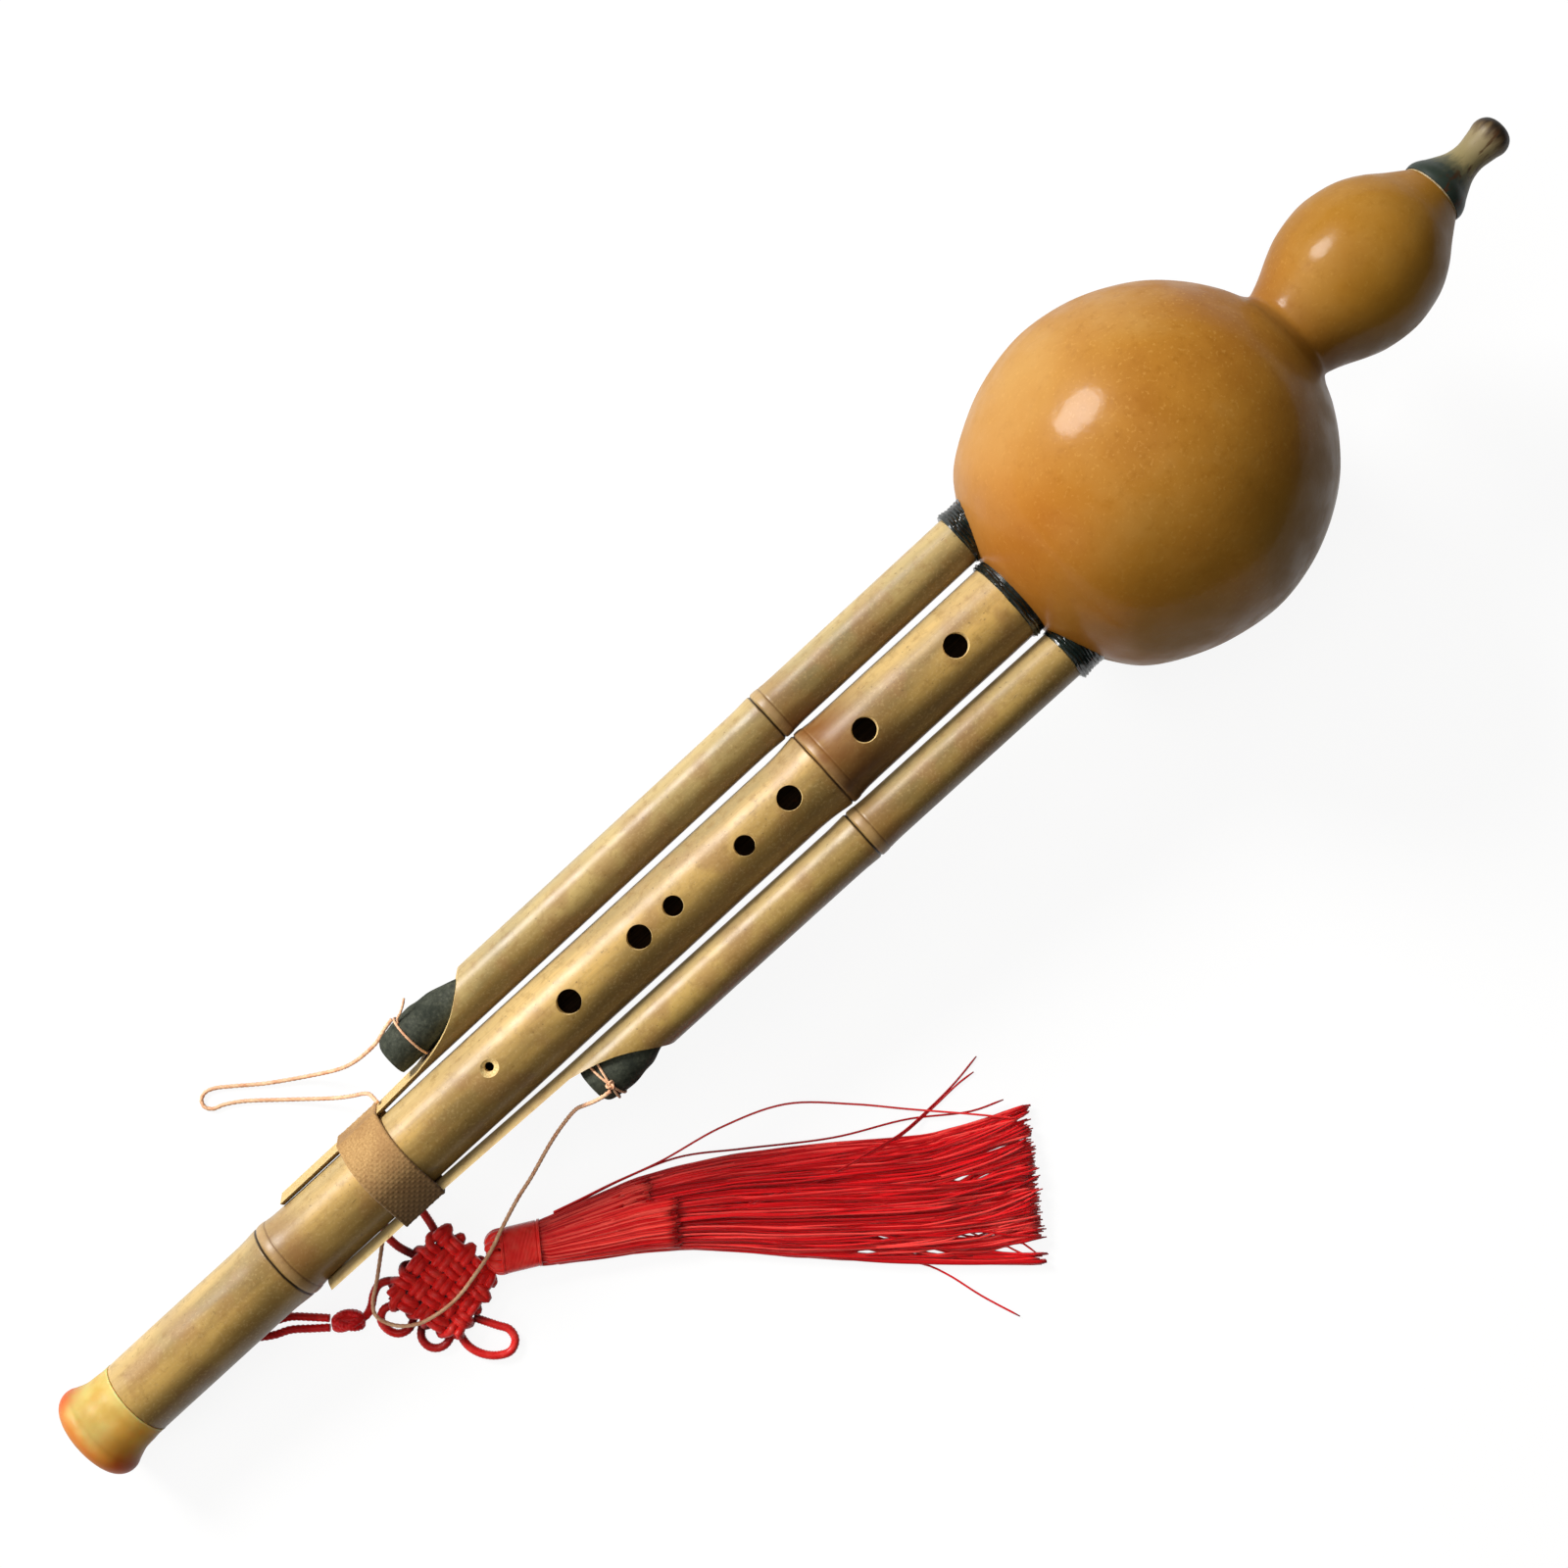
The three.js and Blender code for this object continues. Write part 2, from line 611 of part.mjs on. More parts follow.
function makeStopper(name, side, cutAt, splintEnd, nodeAt, length, tieShare) {
  const cut = cutAt - collarAt;
  const profile = stopperProfile(length);
  const ends = [[profile[0][0], 0], ...profile, [profile[profile.length - 1][0], 0]];
  const geometry = turned(ends, droneSides);
  const at = geometry.getAttribute('position');
  for (let i = 0; i < at.count; i += 1) {
    const shift = stopperRadiusAt(length, at.getX(i)) - stopperFlat;
    at.setY(i, at.getY(i) + side * shift);
  }
  const keepOut = stopperKeepOut(side, cutAt, splintEnd, nodeAt);
  let body = solid(geometry.translate(cut, 0, 0)).subtract(keepOut);
  body = body.subtract(tieRing(side, cut, length, tieShare, tetherRadius + gap));
  return piece(`${name}_stopper`, body, looks.plug);
}

// The turn of tether round a stopper, of a given thickness.
function tieRing(side, cut, length, tieShare, radius) {
  const place = -tieShare * length;
  const around = stopperRadiusAt(length, place);
  const section = [];
  for (let i = 0; i < cordSides; i += 1) {
    const turn = (2 * Math.PI * (i + 0.5)) / cordSides;
    section.push([place + radius * Math.cos(turn), around + radius * Math.sin(turn)]);
  }
  const geometry = ring(section, droneSides).translate(cut, side * (around - stopperFlat), 0);
  return solid(geometry);
}

function makeTie(name, side, cutAt, splintEnd, nodeAt, length, tieShare) {
  const body = tieRing(side, cutAt - collarAt, length, tieShare, tetherRadius);
  const keepOut = stopperKeepOut(side, cutAt, splintEnd, nodeAt);
  return piece(`${name}_stopper_tie`, body.subtract(keepOut), looks.tether);
}

// Collars

// A wax collar round a pipe: a lip, a waist and a flare, cut to the pipe and to the gourd.
function makeCollar(name, place, start, lipRadius, pipeRadius, shift) {
  const outline = collarShares.map(([along, out]) => [start + along * collarLength, out * lipRadius]);
  const end = start + collarLength;
  const outside = turned([[start, 0], ...outline, [end, 0]], droneSides).translate(0, shift, 0);
  const bore = rod(start - overrun, end + overrun, pipeRadius + gap, droneSides);
  const gourd = seenFrom(place, gourdPlace, gourdBulk(gap));
  const body = solid(outside).subtract(solid(bore)).subtract(solid(gourd));
  return piece(name, body, looks.wax);
}

// Reeds

// Outline of the tongue's slot: a long triangle that points up the pipe.
const triangle = (base, length, from) => [[from, -base / 2], [from + length, 0], [from, base / 2]];

function makeReed(name, end, flat, plate) {
  const middle = reedMiddle(end, plate);
  const from = middle - plate.slotLength / 2;
  const outline = [[-1, -1], [1, -1], [1, 1], [-1, 1]].map(([x, y]) =>
    [middle + (x * plate.length) / 2, (y * plate.width) / 2]);
  const slot = triangle(plate.slotBase, plate.slotLength, from).reverse();
  const height = flat + gap + plate.thickness / 2;
  const frame = slab(outline, plate.thickness, [slot]).translate(0, 0, height);
  const half = Math.atan(plate.slotBase / 2 / plate.slotLength);
  const length = plate.slotLength - gap - gap / Math.sin(half);
  const tongue = slab(triangle(2 * length * Math.tan(half), length, from + gap), tongueThickness);
  tongue.translate(0, 0, height);
  return [
    piece(`${name}_reed_plate`, solid(frame), looks.brass),
    piece(`${name}_reed_tongue`, solid(tongue), looks.brass),
  ];
}

// Plug that closes a pipe's inner end.
function makePlug(name, end, bore, outer) {
  const points = [
    [end - plugLength, 0],
    [end - plugLength, bore - gap],
    [end + gap, bore - gap],
    [end + gap, outer],
    [end + gap + plugCap, outer],
    [end + gap + plugCap, 0],
  ];
  return piece(`${name}_end_plug`, solid(turned(points, droneSides)), looks.wax);
}

// Binding band

// Outline round the pipe and both splints, grown by a margin: two arcs and two flats.
function bandOutline(margin) {
  const spacing = bindingSpacing;
  const out = spacing - splintFace + margin;
  const rise = Math.sqrt(droneRadius ** 2 - splintFace ** 2) + margin / 2;
  const around = middleRadius + margin;
  const reach = Math.hypot(out, rise);
  const start = Math.atan2(rise, out) + Math.acos(around / reach);
  const points = [];
  const arcSteps = 8;
  for (const turn of [0, Math.PI]) {
    points.push([Math.cos(turn) * out, (turn ? 1 : -1) * rise]);
    points.push([Math.cos(turn) * out, (turn ? -1 : 1) * rise]);
    for (let i = 0; i <= arcSteps; i += 1) {
      const angle = turn + start + ((Math.PI - 2 * start) * i) / arcSteps;
      points.push([around * Math.cos(angle), around * Math.sin(angle)]);
    }
  }
  return points;
}

function makeBand() {
  const geometry = slab(bandOutline(gap + bandThickness), bandWidth, [bandOutline(gap).reverse()]);
  geometry.rotateX(Math.PI / 2).rotateZ(Math.PI / 2);
  return piece('binding_band', solid(geometry.translate(bindingAt, 0, 0)), looks.band);
}

// Lanyard

function makeCord(name, route, radius, diametersAStep, material) {
  const steps = stepsOf(route, radius, diametersAStep);
  return piece(name, solid(tube(route, radius, cordSides, steps)), material);
}

// The knot in the bore that keeps the strands from slipping out of their holes.
function makeStopKnot() {
  const points = buttonShares.map(([along, out]) => [along * stopKnotLength, out * stopKnotRadius]);
  const height = stopKnotRadius + gap - boreRadius;
  const bead = turned(points, smallSides).translate(lanyardHoleAt, 0, height);
  return piece('lanyard_stop_knot', solid(bead), looks.red);
}

// Where a piece on the table stands: a place on it and a turn about the vertical.
function tablePlace(x, y, turn) {
  return new THREE.Matrix4().makeRotationZ(turn).setPosition(x, y, tableGap);
}

function makeButton() {
  const points = buttonShares.map(([along, out]) => [along * buttonLength, out * buttonRadius]);
  const knot = turned(points, smallSides).translate(0, 0, buttonRadius);
  knot.applyMatrix4(tablePlace(buttonX, buttonY, buttonTurn));
  return piece('button_knot', solid(knot), looks.red);
}

// The knot's rows of doubled cords cross in two layers that bed into each other.
function makeKnot() {
  const width = rowPitch - gap;
  const outline = rowShares.map(([along, out]) => [along * rowReach, (out * rowHeight) / 2]);
  const parts = [];
  for (const layer of [0, 1]) {
    for (let i = 0; i < rowCount; i += 1) {
      const aside = (i - (rowCount - 1) / 2) * rowPitch;
      const row = turned(outline, cordSides).scale(1, width / rowHeight, 1);
      row.translate(0, aside, rowHeight * (0.5 + layerShare * layer));
      row.rotateZ(Math.PI / 4 + (layer * Math.PI) / 2);
      row.applyMatrix4(tablePlace(knotX, knotY, knotTurn));
      parts.push(solid(row));
    }
  }
  for (const route of earRoutes) {
    parts.push(solid(tube(route, strandRadius, earSides, stepsOf(route, strandRadius, earStep))));
  }
  return piece('pan_chang_knot', wasm.Manifold.union(parts), looks.red);
}

// Tassel

// A closed solid through rings of points, with as many points in each.
function loft(rings) {
  const count = rings[0].length;
  const last = (rings.length - 1) * count;
  const faces = [];
  for (let i = 0; i < last; i += count) {
    for (let j = 0; j < count; j += 1) {
      const [a, b] = [i + j, i + ((j + 1) % count)];
      faces.push(a, b, b + count, a, b + count, a + count);
    }
  }
  for (let j = 1; j < count - 1; j += 1) {
    faces.push(0, j + 1, j, last, last + j, last + j + 1);
  }
  const geometry = new THREE.BufferGeometry();
  geometry.setAttribute('position', new THREE.Float32BufferAttribute(rings.flat(2), 3));
  geometry.setIndex(faces);
  return geometry;
}

// A ring of points about a bundle: its place along the tassel, its two edges, its bottom and top.
function bundleRing([along, left, right, bottom, top]) {
  const points = [];
  for (let i = 0; i < sectionPoints; i += 1) {
    const turn = (2 * Math.PI * (i + 0.5)) / sectionPoints;
    const [y, z] = [Math.cos(turn), Math.sin(turn)].map((s) =>
      Math.sign(s) * Math.abs(s) ** sectionShare);
    points.push([
      along,
      (left + right) / 2 + (y * (left - right)) / 2,
      (bottom + top) / 2 + (z * (top - bottom)) / 2,
    ]);
  }
  return points;
}

// Middle of the neck at a place along it.
const neckMiddle = (along) => (headShift * -along) / (sleeveLength + headLength);

function makeTassel() {
  const place = tablePlace(tasselX, tasselY, tasselTurn);
  const neckRing = (along, inset) => {
    const half = neckHalfWidth - inset;
    return [along, neckMiddle(along) + half, neckMiddle(along) - half, inset, tasselHeight - inset];
  };
  const headFrom = -sleeveLength - headLength;
  const sheath = sleeveWall + gap;
  const rings = [
    neckRing(headFrom, sheath),
    neckRing(headFrom + headLength / 4, 0),
    neckRing(-sleeveLength - gap, 0),
    neckRing(-sleeveLength - gap, sheath),
    neckRing(-gap, sheath),
    ...skirtShares.map(([along, left, right, height]) => [
      along * skirtLength, left * skirtReach, right * skirtReach, 0, height * tasselHeight,
    ]),
  ].map(bundleRing);
  const keepOut = knotKeepOut();
  const bundle = solid(loft(rings).applyMatrix4(place)).subtract(keepOut);
  const ends = [-sleeveLength, -2 * gap];
  const outer = loft(ends.map((along) => bundleRing(neckRing(along, 0))));
  const inner = loft([ends[0] - overrun, ends[1] + overrun].map((along) =>
    bundleRing(neckRing(along, sleeveWall))));
  const sleeve = solid(outer.applyMatrix4(place)).subtract(solid(inner.applyMatrix4(place)));
  return [
    piece('tassel_bundle', bundle, looks.red),
    piece('tassel_sleeve', sleeve, looks.red),
  ];
}

// The room that the pan chang knot takes at the tassel's head.
function knotKeepOut() {
  const side = 2 * (rowReach + gap);
  const height = rowHeight * (1 + layerShare) + 2 * gap;
  const block = box(side, side, height).translate(0, 0, height / 2 - gap);
  block.rotateZ(Math.PI / 4).applyMatrix4(tablePlace(knotX, knotY, knotTurn));
  return solid(block);
}

// Assembly

const instrument = new THREE.Group();

const gourdGroup = new THREE.Group();
gourdGroup.applyMatrix4(gourdPlace);
gourdGroup.add(makeGourd(), makeMouthpiece(), makeSeal());
instrument.add(gourdGroup);

instrument.add(makePipe(), makeBell(), makeBand(), makeStopKnot());
instrument.add(...makeReed('main', pipeInnerEnd, mainFlat, mainPlate));
instrument.add(makePlug('main', pipeInnerEnd, boreRadius, topRadius));
instrument.add(makeCollar('main_collar', pipePlace, collarAt + mainCollarLead,
  mainLipRadius, topRadius, 0));

const droneSizes = [
  ['left', 1, leftCutAt, leftSplintEnd, leftNodeAt, leftStopperLength, leftTieShare],
  ['right', -1, rightCutAt, rightSplintEnd, rightNodeAt, rightStopperLength, rightTieShare],
];
droneSizes.forEach(([name, side, cutAt, splintEnd, nodeAt, length, tieShare], i) => {
  const group = new THREE.Group();
  group.applyMatrix4(dronePlaces[i]);
  group.add(makeDrone(name, side, cutAt, splintEnd, nodeAt));
  group.add(makeStopper(name, side, cutAt, splintEnd, nodeAt, length, tieShare));
  group.add(makeTie(name, side, cutAt, splintEnd, nodeAt, length, tieShare));
  group.add(...makeReed(name, droneInnerEnd, droneFlat, dronePlate));
  group.add(makePlug(name, droneInnerEnd, droneBore, droneRadius));
  group.add(makeCollar(`${name}_collar`, dronePlaces[i], droneCollarLead,
    droneLipRadius, droneRadius, side * collarShift));
  instrument.add(group);
});

// Height of a turned outline's lowest facet when the instrument is tilted.
function lowest(outline, start, sides, tilt) {
  const flat = Math.cos(Math.PI / sides);
  return Math.min(...outline.map(([along, radius]) =>
    (start + along) * Math.sin(tilt) - radius * flat * Math.cos(tilt)));
}

// The tilt at which the gourd and the bell's rim touch one table.
function restingTilt() {
  const rim = [[beadRadius, bellRimRadius]];
  let [low, high] = [0, Math.PI / 8];
  for (let i = 0; i < 40; i += 1) {
    const tilt = (low + high) / 2;
    const gourd = lowest(gourdOutline(0), bellToGourd, gourdSides, tilt);
    if (gourd < lowest(rim, 0, pipeSides, tilt)) low = tilt;
    else high = tilt;
  }
  return (low + high) / 2;
}

instrument.rotation.y = -restingTilt();
const span = new THREE.Box3().setFromObject(instrument, true);
const middle = span.getCenter(new THREE.Vector3());
instrument.position.set(-middle.x, -middle.y, -span.min.z);

// Cords, knots and tassel on the table
const hulusi = new THREE.Group();
hulusi.add(instrument);
for (const [name, route] of Object.entries(strandRoutes)) {
  hulusi.add(makeCord(`lanyard_${name}_strand`, route, strandRadius, strandStep, looks.red));
}
for (const [name, route] of Object.entries(tetherRoutes)) {
  hulusi.add(makeCord(`${name}_tether`, route, tetherRadius, tetherStep, looks.tether));
}
hulusi.add(makeButton(), makeKnot(), ...makeTassel());

export default hulusi;
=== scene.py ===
# A hulusi: the finish of every surface, its cords, knots and tassel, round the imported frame.
# Lengths are millimetres until a mesh is made, which is in metres.
import json
import math
import random

import bmesh
import bpy
import numpy as np
from mathutils import Matrix, Vector, noise


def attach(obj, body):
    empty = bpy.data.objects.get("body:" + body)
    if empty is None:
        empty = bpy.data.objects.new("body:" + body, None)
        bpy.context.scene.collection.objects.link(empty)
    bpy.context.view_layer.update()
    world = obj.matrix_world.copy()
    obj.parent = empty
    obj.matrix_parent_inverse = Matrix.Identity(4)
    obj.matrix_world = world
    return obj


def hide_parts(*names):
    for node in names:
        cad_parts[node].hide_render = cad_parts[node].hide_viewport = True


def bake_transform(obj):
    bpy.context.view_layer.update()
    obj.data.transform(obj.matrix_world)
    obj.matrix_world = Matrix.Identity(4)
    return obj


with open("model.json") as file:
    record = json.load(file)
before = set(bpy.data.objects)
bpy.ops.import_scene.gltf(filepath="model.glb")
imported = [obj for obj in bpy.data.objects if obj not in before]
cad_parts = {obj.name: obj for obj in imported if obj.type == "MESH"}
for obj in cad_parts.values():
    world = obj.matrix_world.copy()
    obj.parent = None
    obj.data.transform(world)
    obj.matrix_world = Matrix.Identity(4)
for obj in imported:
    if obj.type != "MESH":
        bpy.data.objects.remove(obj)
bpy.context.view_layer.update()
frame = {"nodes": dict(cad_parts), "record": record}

MM = 0.001
FULL_TURN = 2 * math.pi
CREASE = math.radians(32)  # edges that turn more than this stay sharp
WIDE_CREASE = math.radians(50)
CURVE_STEPS = 24

# Sides of the round pieces
GOURD_SIDES = 160
BULK_SIDES = 128
PIPE_SIDES = 112
DRONE_SIDES = 96
SMALL_SIDES = 72
ENTRY_SIDES = 64
HOLE_SIDES = 48
LANYARD_HOLE_SIDES = 32

# The instrument, measured from the open end of the bell ring
BELL_TO_GOURD = 341.6
COLLAR_AT = 296
BINDING_AT = 97.5
DRONE_SPACING = 18.4
BINDING_SPACING = 17.35
GOURD_LEAN = math.radians(1.9)

# Gourd
GOURD_RADIUS = 45.2
GOURD_FOOT = 43.1
NECK_REACH = 47
NECK_RADIUS = 13.4
CROWN_REACH = 70.4
CROWN_RADIUS = 20.5
MOUTH_REACH = 95
MOUTH_RADIUS = 8.7
GOURD_WALL = 3.2
GOURD_STEP = 1
GOURD_LUMPS = (0.5, 22, 3)  # depth, size and seed, as for the pipe and the stoppers
POLE_CAP = 1
ENTRY_REACH = (-9, 13)  # a pipe's hole in the gourd, from its pole
SPIGOT_RADIUS = 4.5
SPIGOT_LENGTH = 5
FACET_SHARE = math.cos(math.pi / 28)  # the frame's facets stand this much nearer the axis
FOOT_SHARES = [(1, 0), (0.993, 0.25), (0.935, 0.44), (0.835, 0.62), (0.729, 0.743), (0.51, 0.872),
               (0.292, 0.954), (0, 1)]
SHOULDER_SHARES = [(0.23, 0.971), (0.428, 0.9), (0.628, 0.774), (0.777, 0.622), (0.877, 0.482),
                   (0.951, 0.347)]
THROAT_SHARES = [(0, 0), (0.103, 0.07), (0.252, 0.268), (0.453, 0.585), (0.65, 0.83), (1, 1)]
CROWN_SHARES = [(0.24, 0.94), (0.43, 0.82), (0.618, 0.6), (0.809, 0.29), (1, 0)]

# Mouthpiece and its seal
MOUTHPIECE_LENGTH = 21.5
MOUTHPIECE_BASE = 8.6
MOUTHPIECE_WAIST = 4
MOUTHPIECE_TIP = 5.1
MOUTHPIECE_BORE = 1.9
SOCKET_RADIUS = 4.2
SOCKET_LENGTH = 8
SKIRT_OVERHANG = 1.05
SEAL_RADIUS = 8.2
SEAL_THICKNESS = 0.9
SEAL_ROUND = 0.3
SEAT_GAP = 0.3
HAIR = 0.05
FLARE_SHARES = [(0, 1), (0.04, 0.965), (0.09, 0.86), (0.153, 0.67), (0.257, 0.4), (0.358, 0.17),
                (0.458, 0.04), (0.563, 0)]
BEAK_SHARES = [(0.664, 0.27), (0.768, 0.64), (0.847, 1), (0.917, 0.8), (0.975, 0.1), (1, -0.6)]

# Main pipe
FOOT_RADIUS = 10.1
MIDDLE_RADIUS = 10.1
TOP_RADIUS = 10.5
BORE_RADIUS = 7
FOOT_NODE_AT = 63.4
MAIN_NODE_AT = 237.3
NODE_BLEND = 9
SCAR_WIDTH = 2.9
PIPE_INNER_END = BELL_TO_GOURD - GOURD_FOOT + 41
PIPE_SWELL = 0.6
PIPE_LUMPS = (0.22, 30, 11)
FOOT_EDGE = 0.25
WALL_STEP = 2.5
BORE_STEP = 12
# Rings at a bamboo node: height, place after the groove and half width; then its groove and scar
NODE_RINGS = [(0.7, 0, 4), (0.3, 1.6, 1.6)]
NODE_LINES = [(0.35, 0, 0.28), (0.07, SCAR_WIDTH, 0.25)]
NODE_REACH = 6
NODE_STEP = 0.15
HOLE_RADIUS = 3
SMALL_HOLE_RADIUS = 2.5
VENT_RADIUS = 1.15
VENT_RIM = 2.6
HOLES = [(279.8, 0.4, HOLE_RADIUS), (250.6, 0.3, HOLE_RADIUS), (226.7, 0.4, HOLE_RADIUS),
         (211.4, -0.8, SMALL_HOLE_RADIUS), (189.4, 0.1, SMALL_HOLE_RADIUS),
         (178.6, 0.1, HOLE_RADIUS), (156.2, 0, HOLE_RADIUS)]
VENT_AT = (131.9, 1.4)
THUMB_HOLE_AT = 265.8
LANYARD_HOLE_AT = 43
LANYARD_HOLE_SPACING = 4.4
LANYARD_HOLE_RADIUS = 1.5
HOLE_START = 4
HOLE_OVERRUN = 2
WEAR_DEPTH = 0.5
WEAR_SLOPE = 0.4
VENT_DEPTH = 1.2

# Bell ring
BELL_LENGTH = 15.3
BELL_RIM = 12.3
BEAD_RADIUS = 3.4
BELL_BORE = 8.3
BELL_EDGE = 0.15
BELL_FLARE = [(13.2, -0.02), (11.9, 0.13), (8.5, 0.45)]  # along, and out from the foot's radius
BEAD_START = 0.3
BEAD_STEPS = 20
TENON_RADIUS = 8.3
TENON_LENGTH = 8.7

# Reeds: the flat that a plate lies on and the window under it
MAIN_REED = dict(flat=9, length=22, inset=1, slot=13.5, base=3.6)
DRONE_REED = dict(flat=5.5, length=17, inset=3.5, slot=10.5, base=2.8)
REED_PLAY = 0.2
WINDOW_FLOOR = 2

# Drones and stoppers
DRONE_RADIUS = 6.45
DRONE_BORE = 4.5
DRONE_INNER_END = BELL_TO_GOURD - GOURD_FOOT + 30 - COLLAR_AT
CUT_LENGTH = 24.1
SPLINT_BEND = 0.75
SCOOP_ROLL = {1: math.radians(12), -1: math.radians(11)}
SPLINT_FACE = 4.85
SCOOP_OVERRUN = 5
DRONE_SWELL = 0.35
CUT_SHARES = [(0, 1), (0.17, 0.5), (0.36, 0), (0.55, -0.34), (0.75, -0.57)]
STOPPER_RADIUS = 5.7
STOPPER_FLAT = 3.7
STOPPER_ENGAGED = 6.3
STOPPER_DENTS = (0.55, 4, 8)
STOPPER_PLAY = 0.12
# Rounded edges of a stopper: along and out from the first and last points of its profile
STOPPER_NOSE = [(0, -0.8), (-0.15, -0.3)]
STOPPER_TAIL = [(0.05, -0.35), (-0.05, -1.2), (0.15, -2.6)]
NOSE_SHARES = [(0, 0.56), (0.2, 0.6), (1, 0.69)]
BULB_SHARES = [(0.16, 0.81), (0.33, 0.93), (0.51, 0.975), (0.68, 1), (0.86, 0.95), (0.97, 0.88),
               (1, 0.8)]
DRONES = {
    "left": dict(side=1, cut=141.3, splint=72.3, node=235.9, stopper=26.7, tie=0.73),
    "right": dict(side=-1, cut=167.5, splint=68.1, node=233.8, stopper=21.8, tie=0.82),
}
TETHER_RADIUS = 0.53
TETHER_SIDES = 12
TIE_RADIUS = 0.32
TIE_SIDES = 10
TIE_STAND = 0.1
TIE_CROSSING = 1.9
TIE_LEANS = {"left": (0.2,), "right": (1.0, -1.0)}
TIE_KNOT = 1.0
TIE_STEPS = 120
CORD_STEP = 0.3
LEFT_TAIL = [(-173.9, 6.1, 3.5), (-173.2, 7, 4), (-171.6, 7.6, 4.4), (-169.6, 8.7, 4.9),
             (-168.6, 9.5, 5.1)]

# Wax collars
MAIN_LIP = 11.3
DRONE_LIP = 7.5
COLLAR_LENGTH = 16
DRONE_LEAD = 1.8
COLLAR_SHIFT = 0.5
WAX_SKIN = 0.35
WAX_RIDGE = 0.9
WAX_RIDGE_HEIGHT = 0.16
WAX_LUMPS = 0.45
WAX_LUMP_SHARE = 0.35
WAX_LUMP_SIZE = 5
WAX_DENT_SIZE = 1.7
WAX_WAVE_SIZE = 3
WAX_DRIFT_SIZE = 4
WAX_STEP = 0.2
GOURD_BITE = 0.4
COLLAR_SHARES = [(0, 0.955), (0.02, 0.99), (0.06, 1), (0.1, 0.985), (0.16, 0.945), (0.28, 0.945),
                 (0.42, 0.96), (0.55, 1.02), (0.66, 1.12), (1, 1.2)]

# Binding band
BAND_WIDTH = 12.4
BAND_THICKNESS = 0.6
WEAVE_CELL = 0.9
WEAVE_HEIGHT = 0.16
WEAVE_STEPS = 4
UNDER_SHARE = 0.35
HEM_HEIGHT = 0.1
BAND_SKIN = 0.1
ARC_STEPS = 24

# Lanyard, on the table
STRAND_RADIUS = 1.05
CORD_SIDES = 18
BUTTON_SIDES = 16
CORD_LAY = 2.4
CORD_GROOVE = 0.16
TABLE_GAP = 0.1
BUTTON_AT = (-166.6, -21.4)
BUTTON_TURN = math.radians(-38.4)
BUTTON_LENGTH = 8.6
BUTTON_RADIUS = 2.9
BUTTON_ROUNDS = 2
BUTTON_BIGHTS = 3
BUTTON_INSET = 1.3
BUTTON_CORD = 1.12
BUTTON_CORE = 0.8
KNOT_AT = (-144.5, -30.2)
KNOT_CORNERS = [(-156.8, -22.7), (-133.9, -19.7), (-133.5, -37.9), (-150.4, -42.7)]
ROW_COUNT = 5
ROW_SHARE = 0.84
ROW_REACH = 0.98
ROW_POINTS = 60
PAIR_HALF = 0.92
KNOT_HEIGHT = 5.4
KNOT_CORD = 1.05
KNOT_STEP = 0.4
KNOT_DRIFT = 0.5
KNOT_DRIFT_SIZE = 6
KNOT_SEED = 1795874533  # without it the vector noise is seeded by the clock
LOBE_REACH = (0.9, 1.7)
LOBE_RISE = (-1, 0.6)
EAR_SWELL = 1.05
CORE_LEVELS = (-0.63, -0.21, 0.21, 0.63)
CORE_WIDTH = 1.4
TASSEL_AT = (-119.56, -38.97)
TASSEL_TURN = math.radians(-36.9)
SKIRT_LENGTH = 123.4
SKIRT_REACH = 21.1
TASSEL_HEIGHT = 8
NECK_HALF = 5.8
SLEEVE_LENGTH = 9.3
HEAD_LENGTH = 4
FOLDS = 15
FOLD_RADIUS = 1.15
FOLD_SIDES = 14
WRAPS = 30
WRAP_STEPS = 6
WRAP_GROOVE = 0.12
BORDER = 2
BORDER_GROOVE = 0.25
THREADS = 820
THREAD_SIDES = 5
THREAD_START = -4
THREAD_POINTS = 30
THREAD_STEP = 2.2
CLUMPS = 110
CLUMP_SHARE = 0.45
LOOSE_LEVEL = 0.62
SHORT_SHARE = 0.16
SHORTENED = (2, 26)
LOWER_THREADS = 9
OVERLAY_THREADS = 230
OVERLAY_END = 33.4
OVERLAY_RADIUS = 0.3
HEAD_SHIFT = -1.7
THREAD_RADIUS = 0.29
SKIRT_SHARES = [(0.005, 0.25, -0.27, 1), (0.1, 0.43, -0.27, 0.97), (0.2, 0.61, -0.26, 0.93),
                (0.3, 0.71, -0.29, 0.88), (0.4, 0.77, -0.38, 0.84), (0.5, 0.785, -0.51, 0.8),
                (0.6, 0.79, -0.61, 0.76), (0.7, 0.77, -0.69, 0.72), (0.8, 0.765, -0.78, 0.68),
                (0.9, 0.86, -0.86, 0.64), (1, 1, -0.93, 0.6)]
# Openings between the threads: middle along and across, half length, half width
PARTINGS = [(107.9, 4.3, 5, 1.1), (85.4, -8, 4.5, 0.9), (105.5, -9.9, 3.5, 1),
            (110.9, -10.3, 3, 0.9), (78.9, -11.2, 4, 0.8), (96.8, -13.1, 6, 0.9),
            (126, -14.5, 15, 2)]
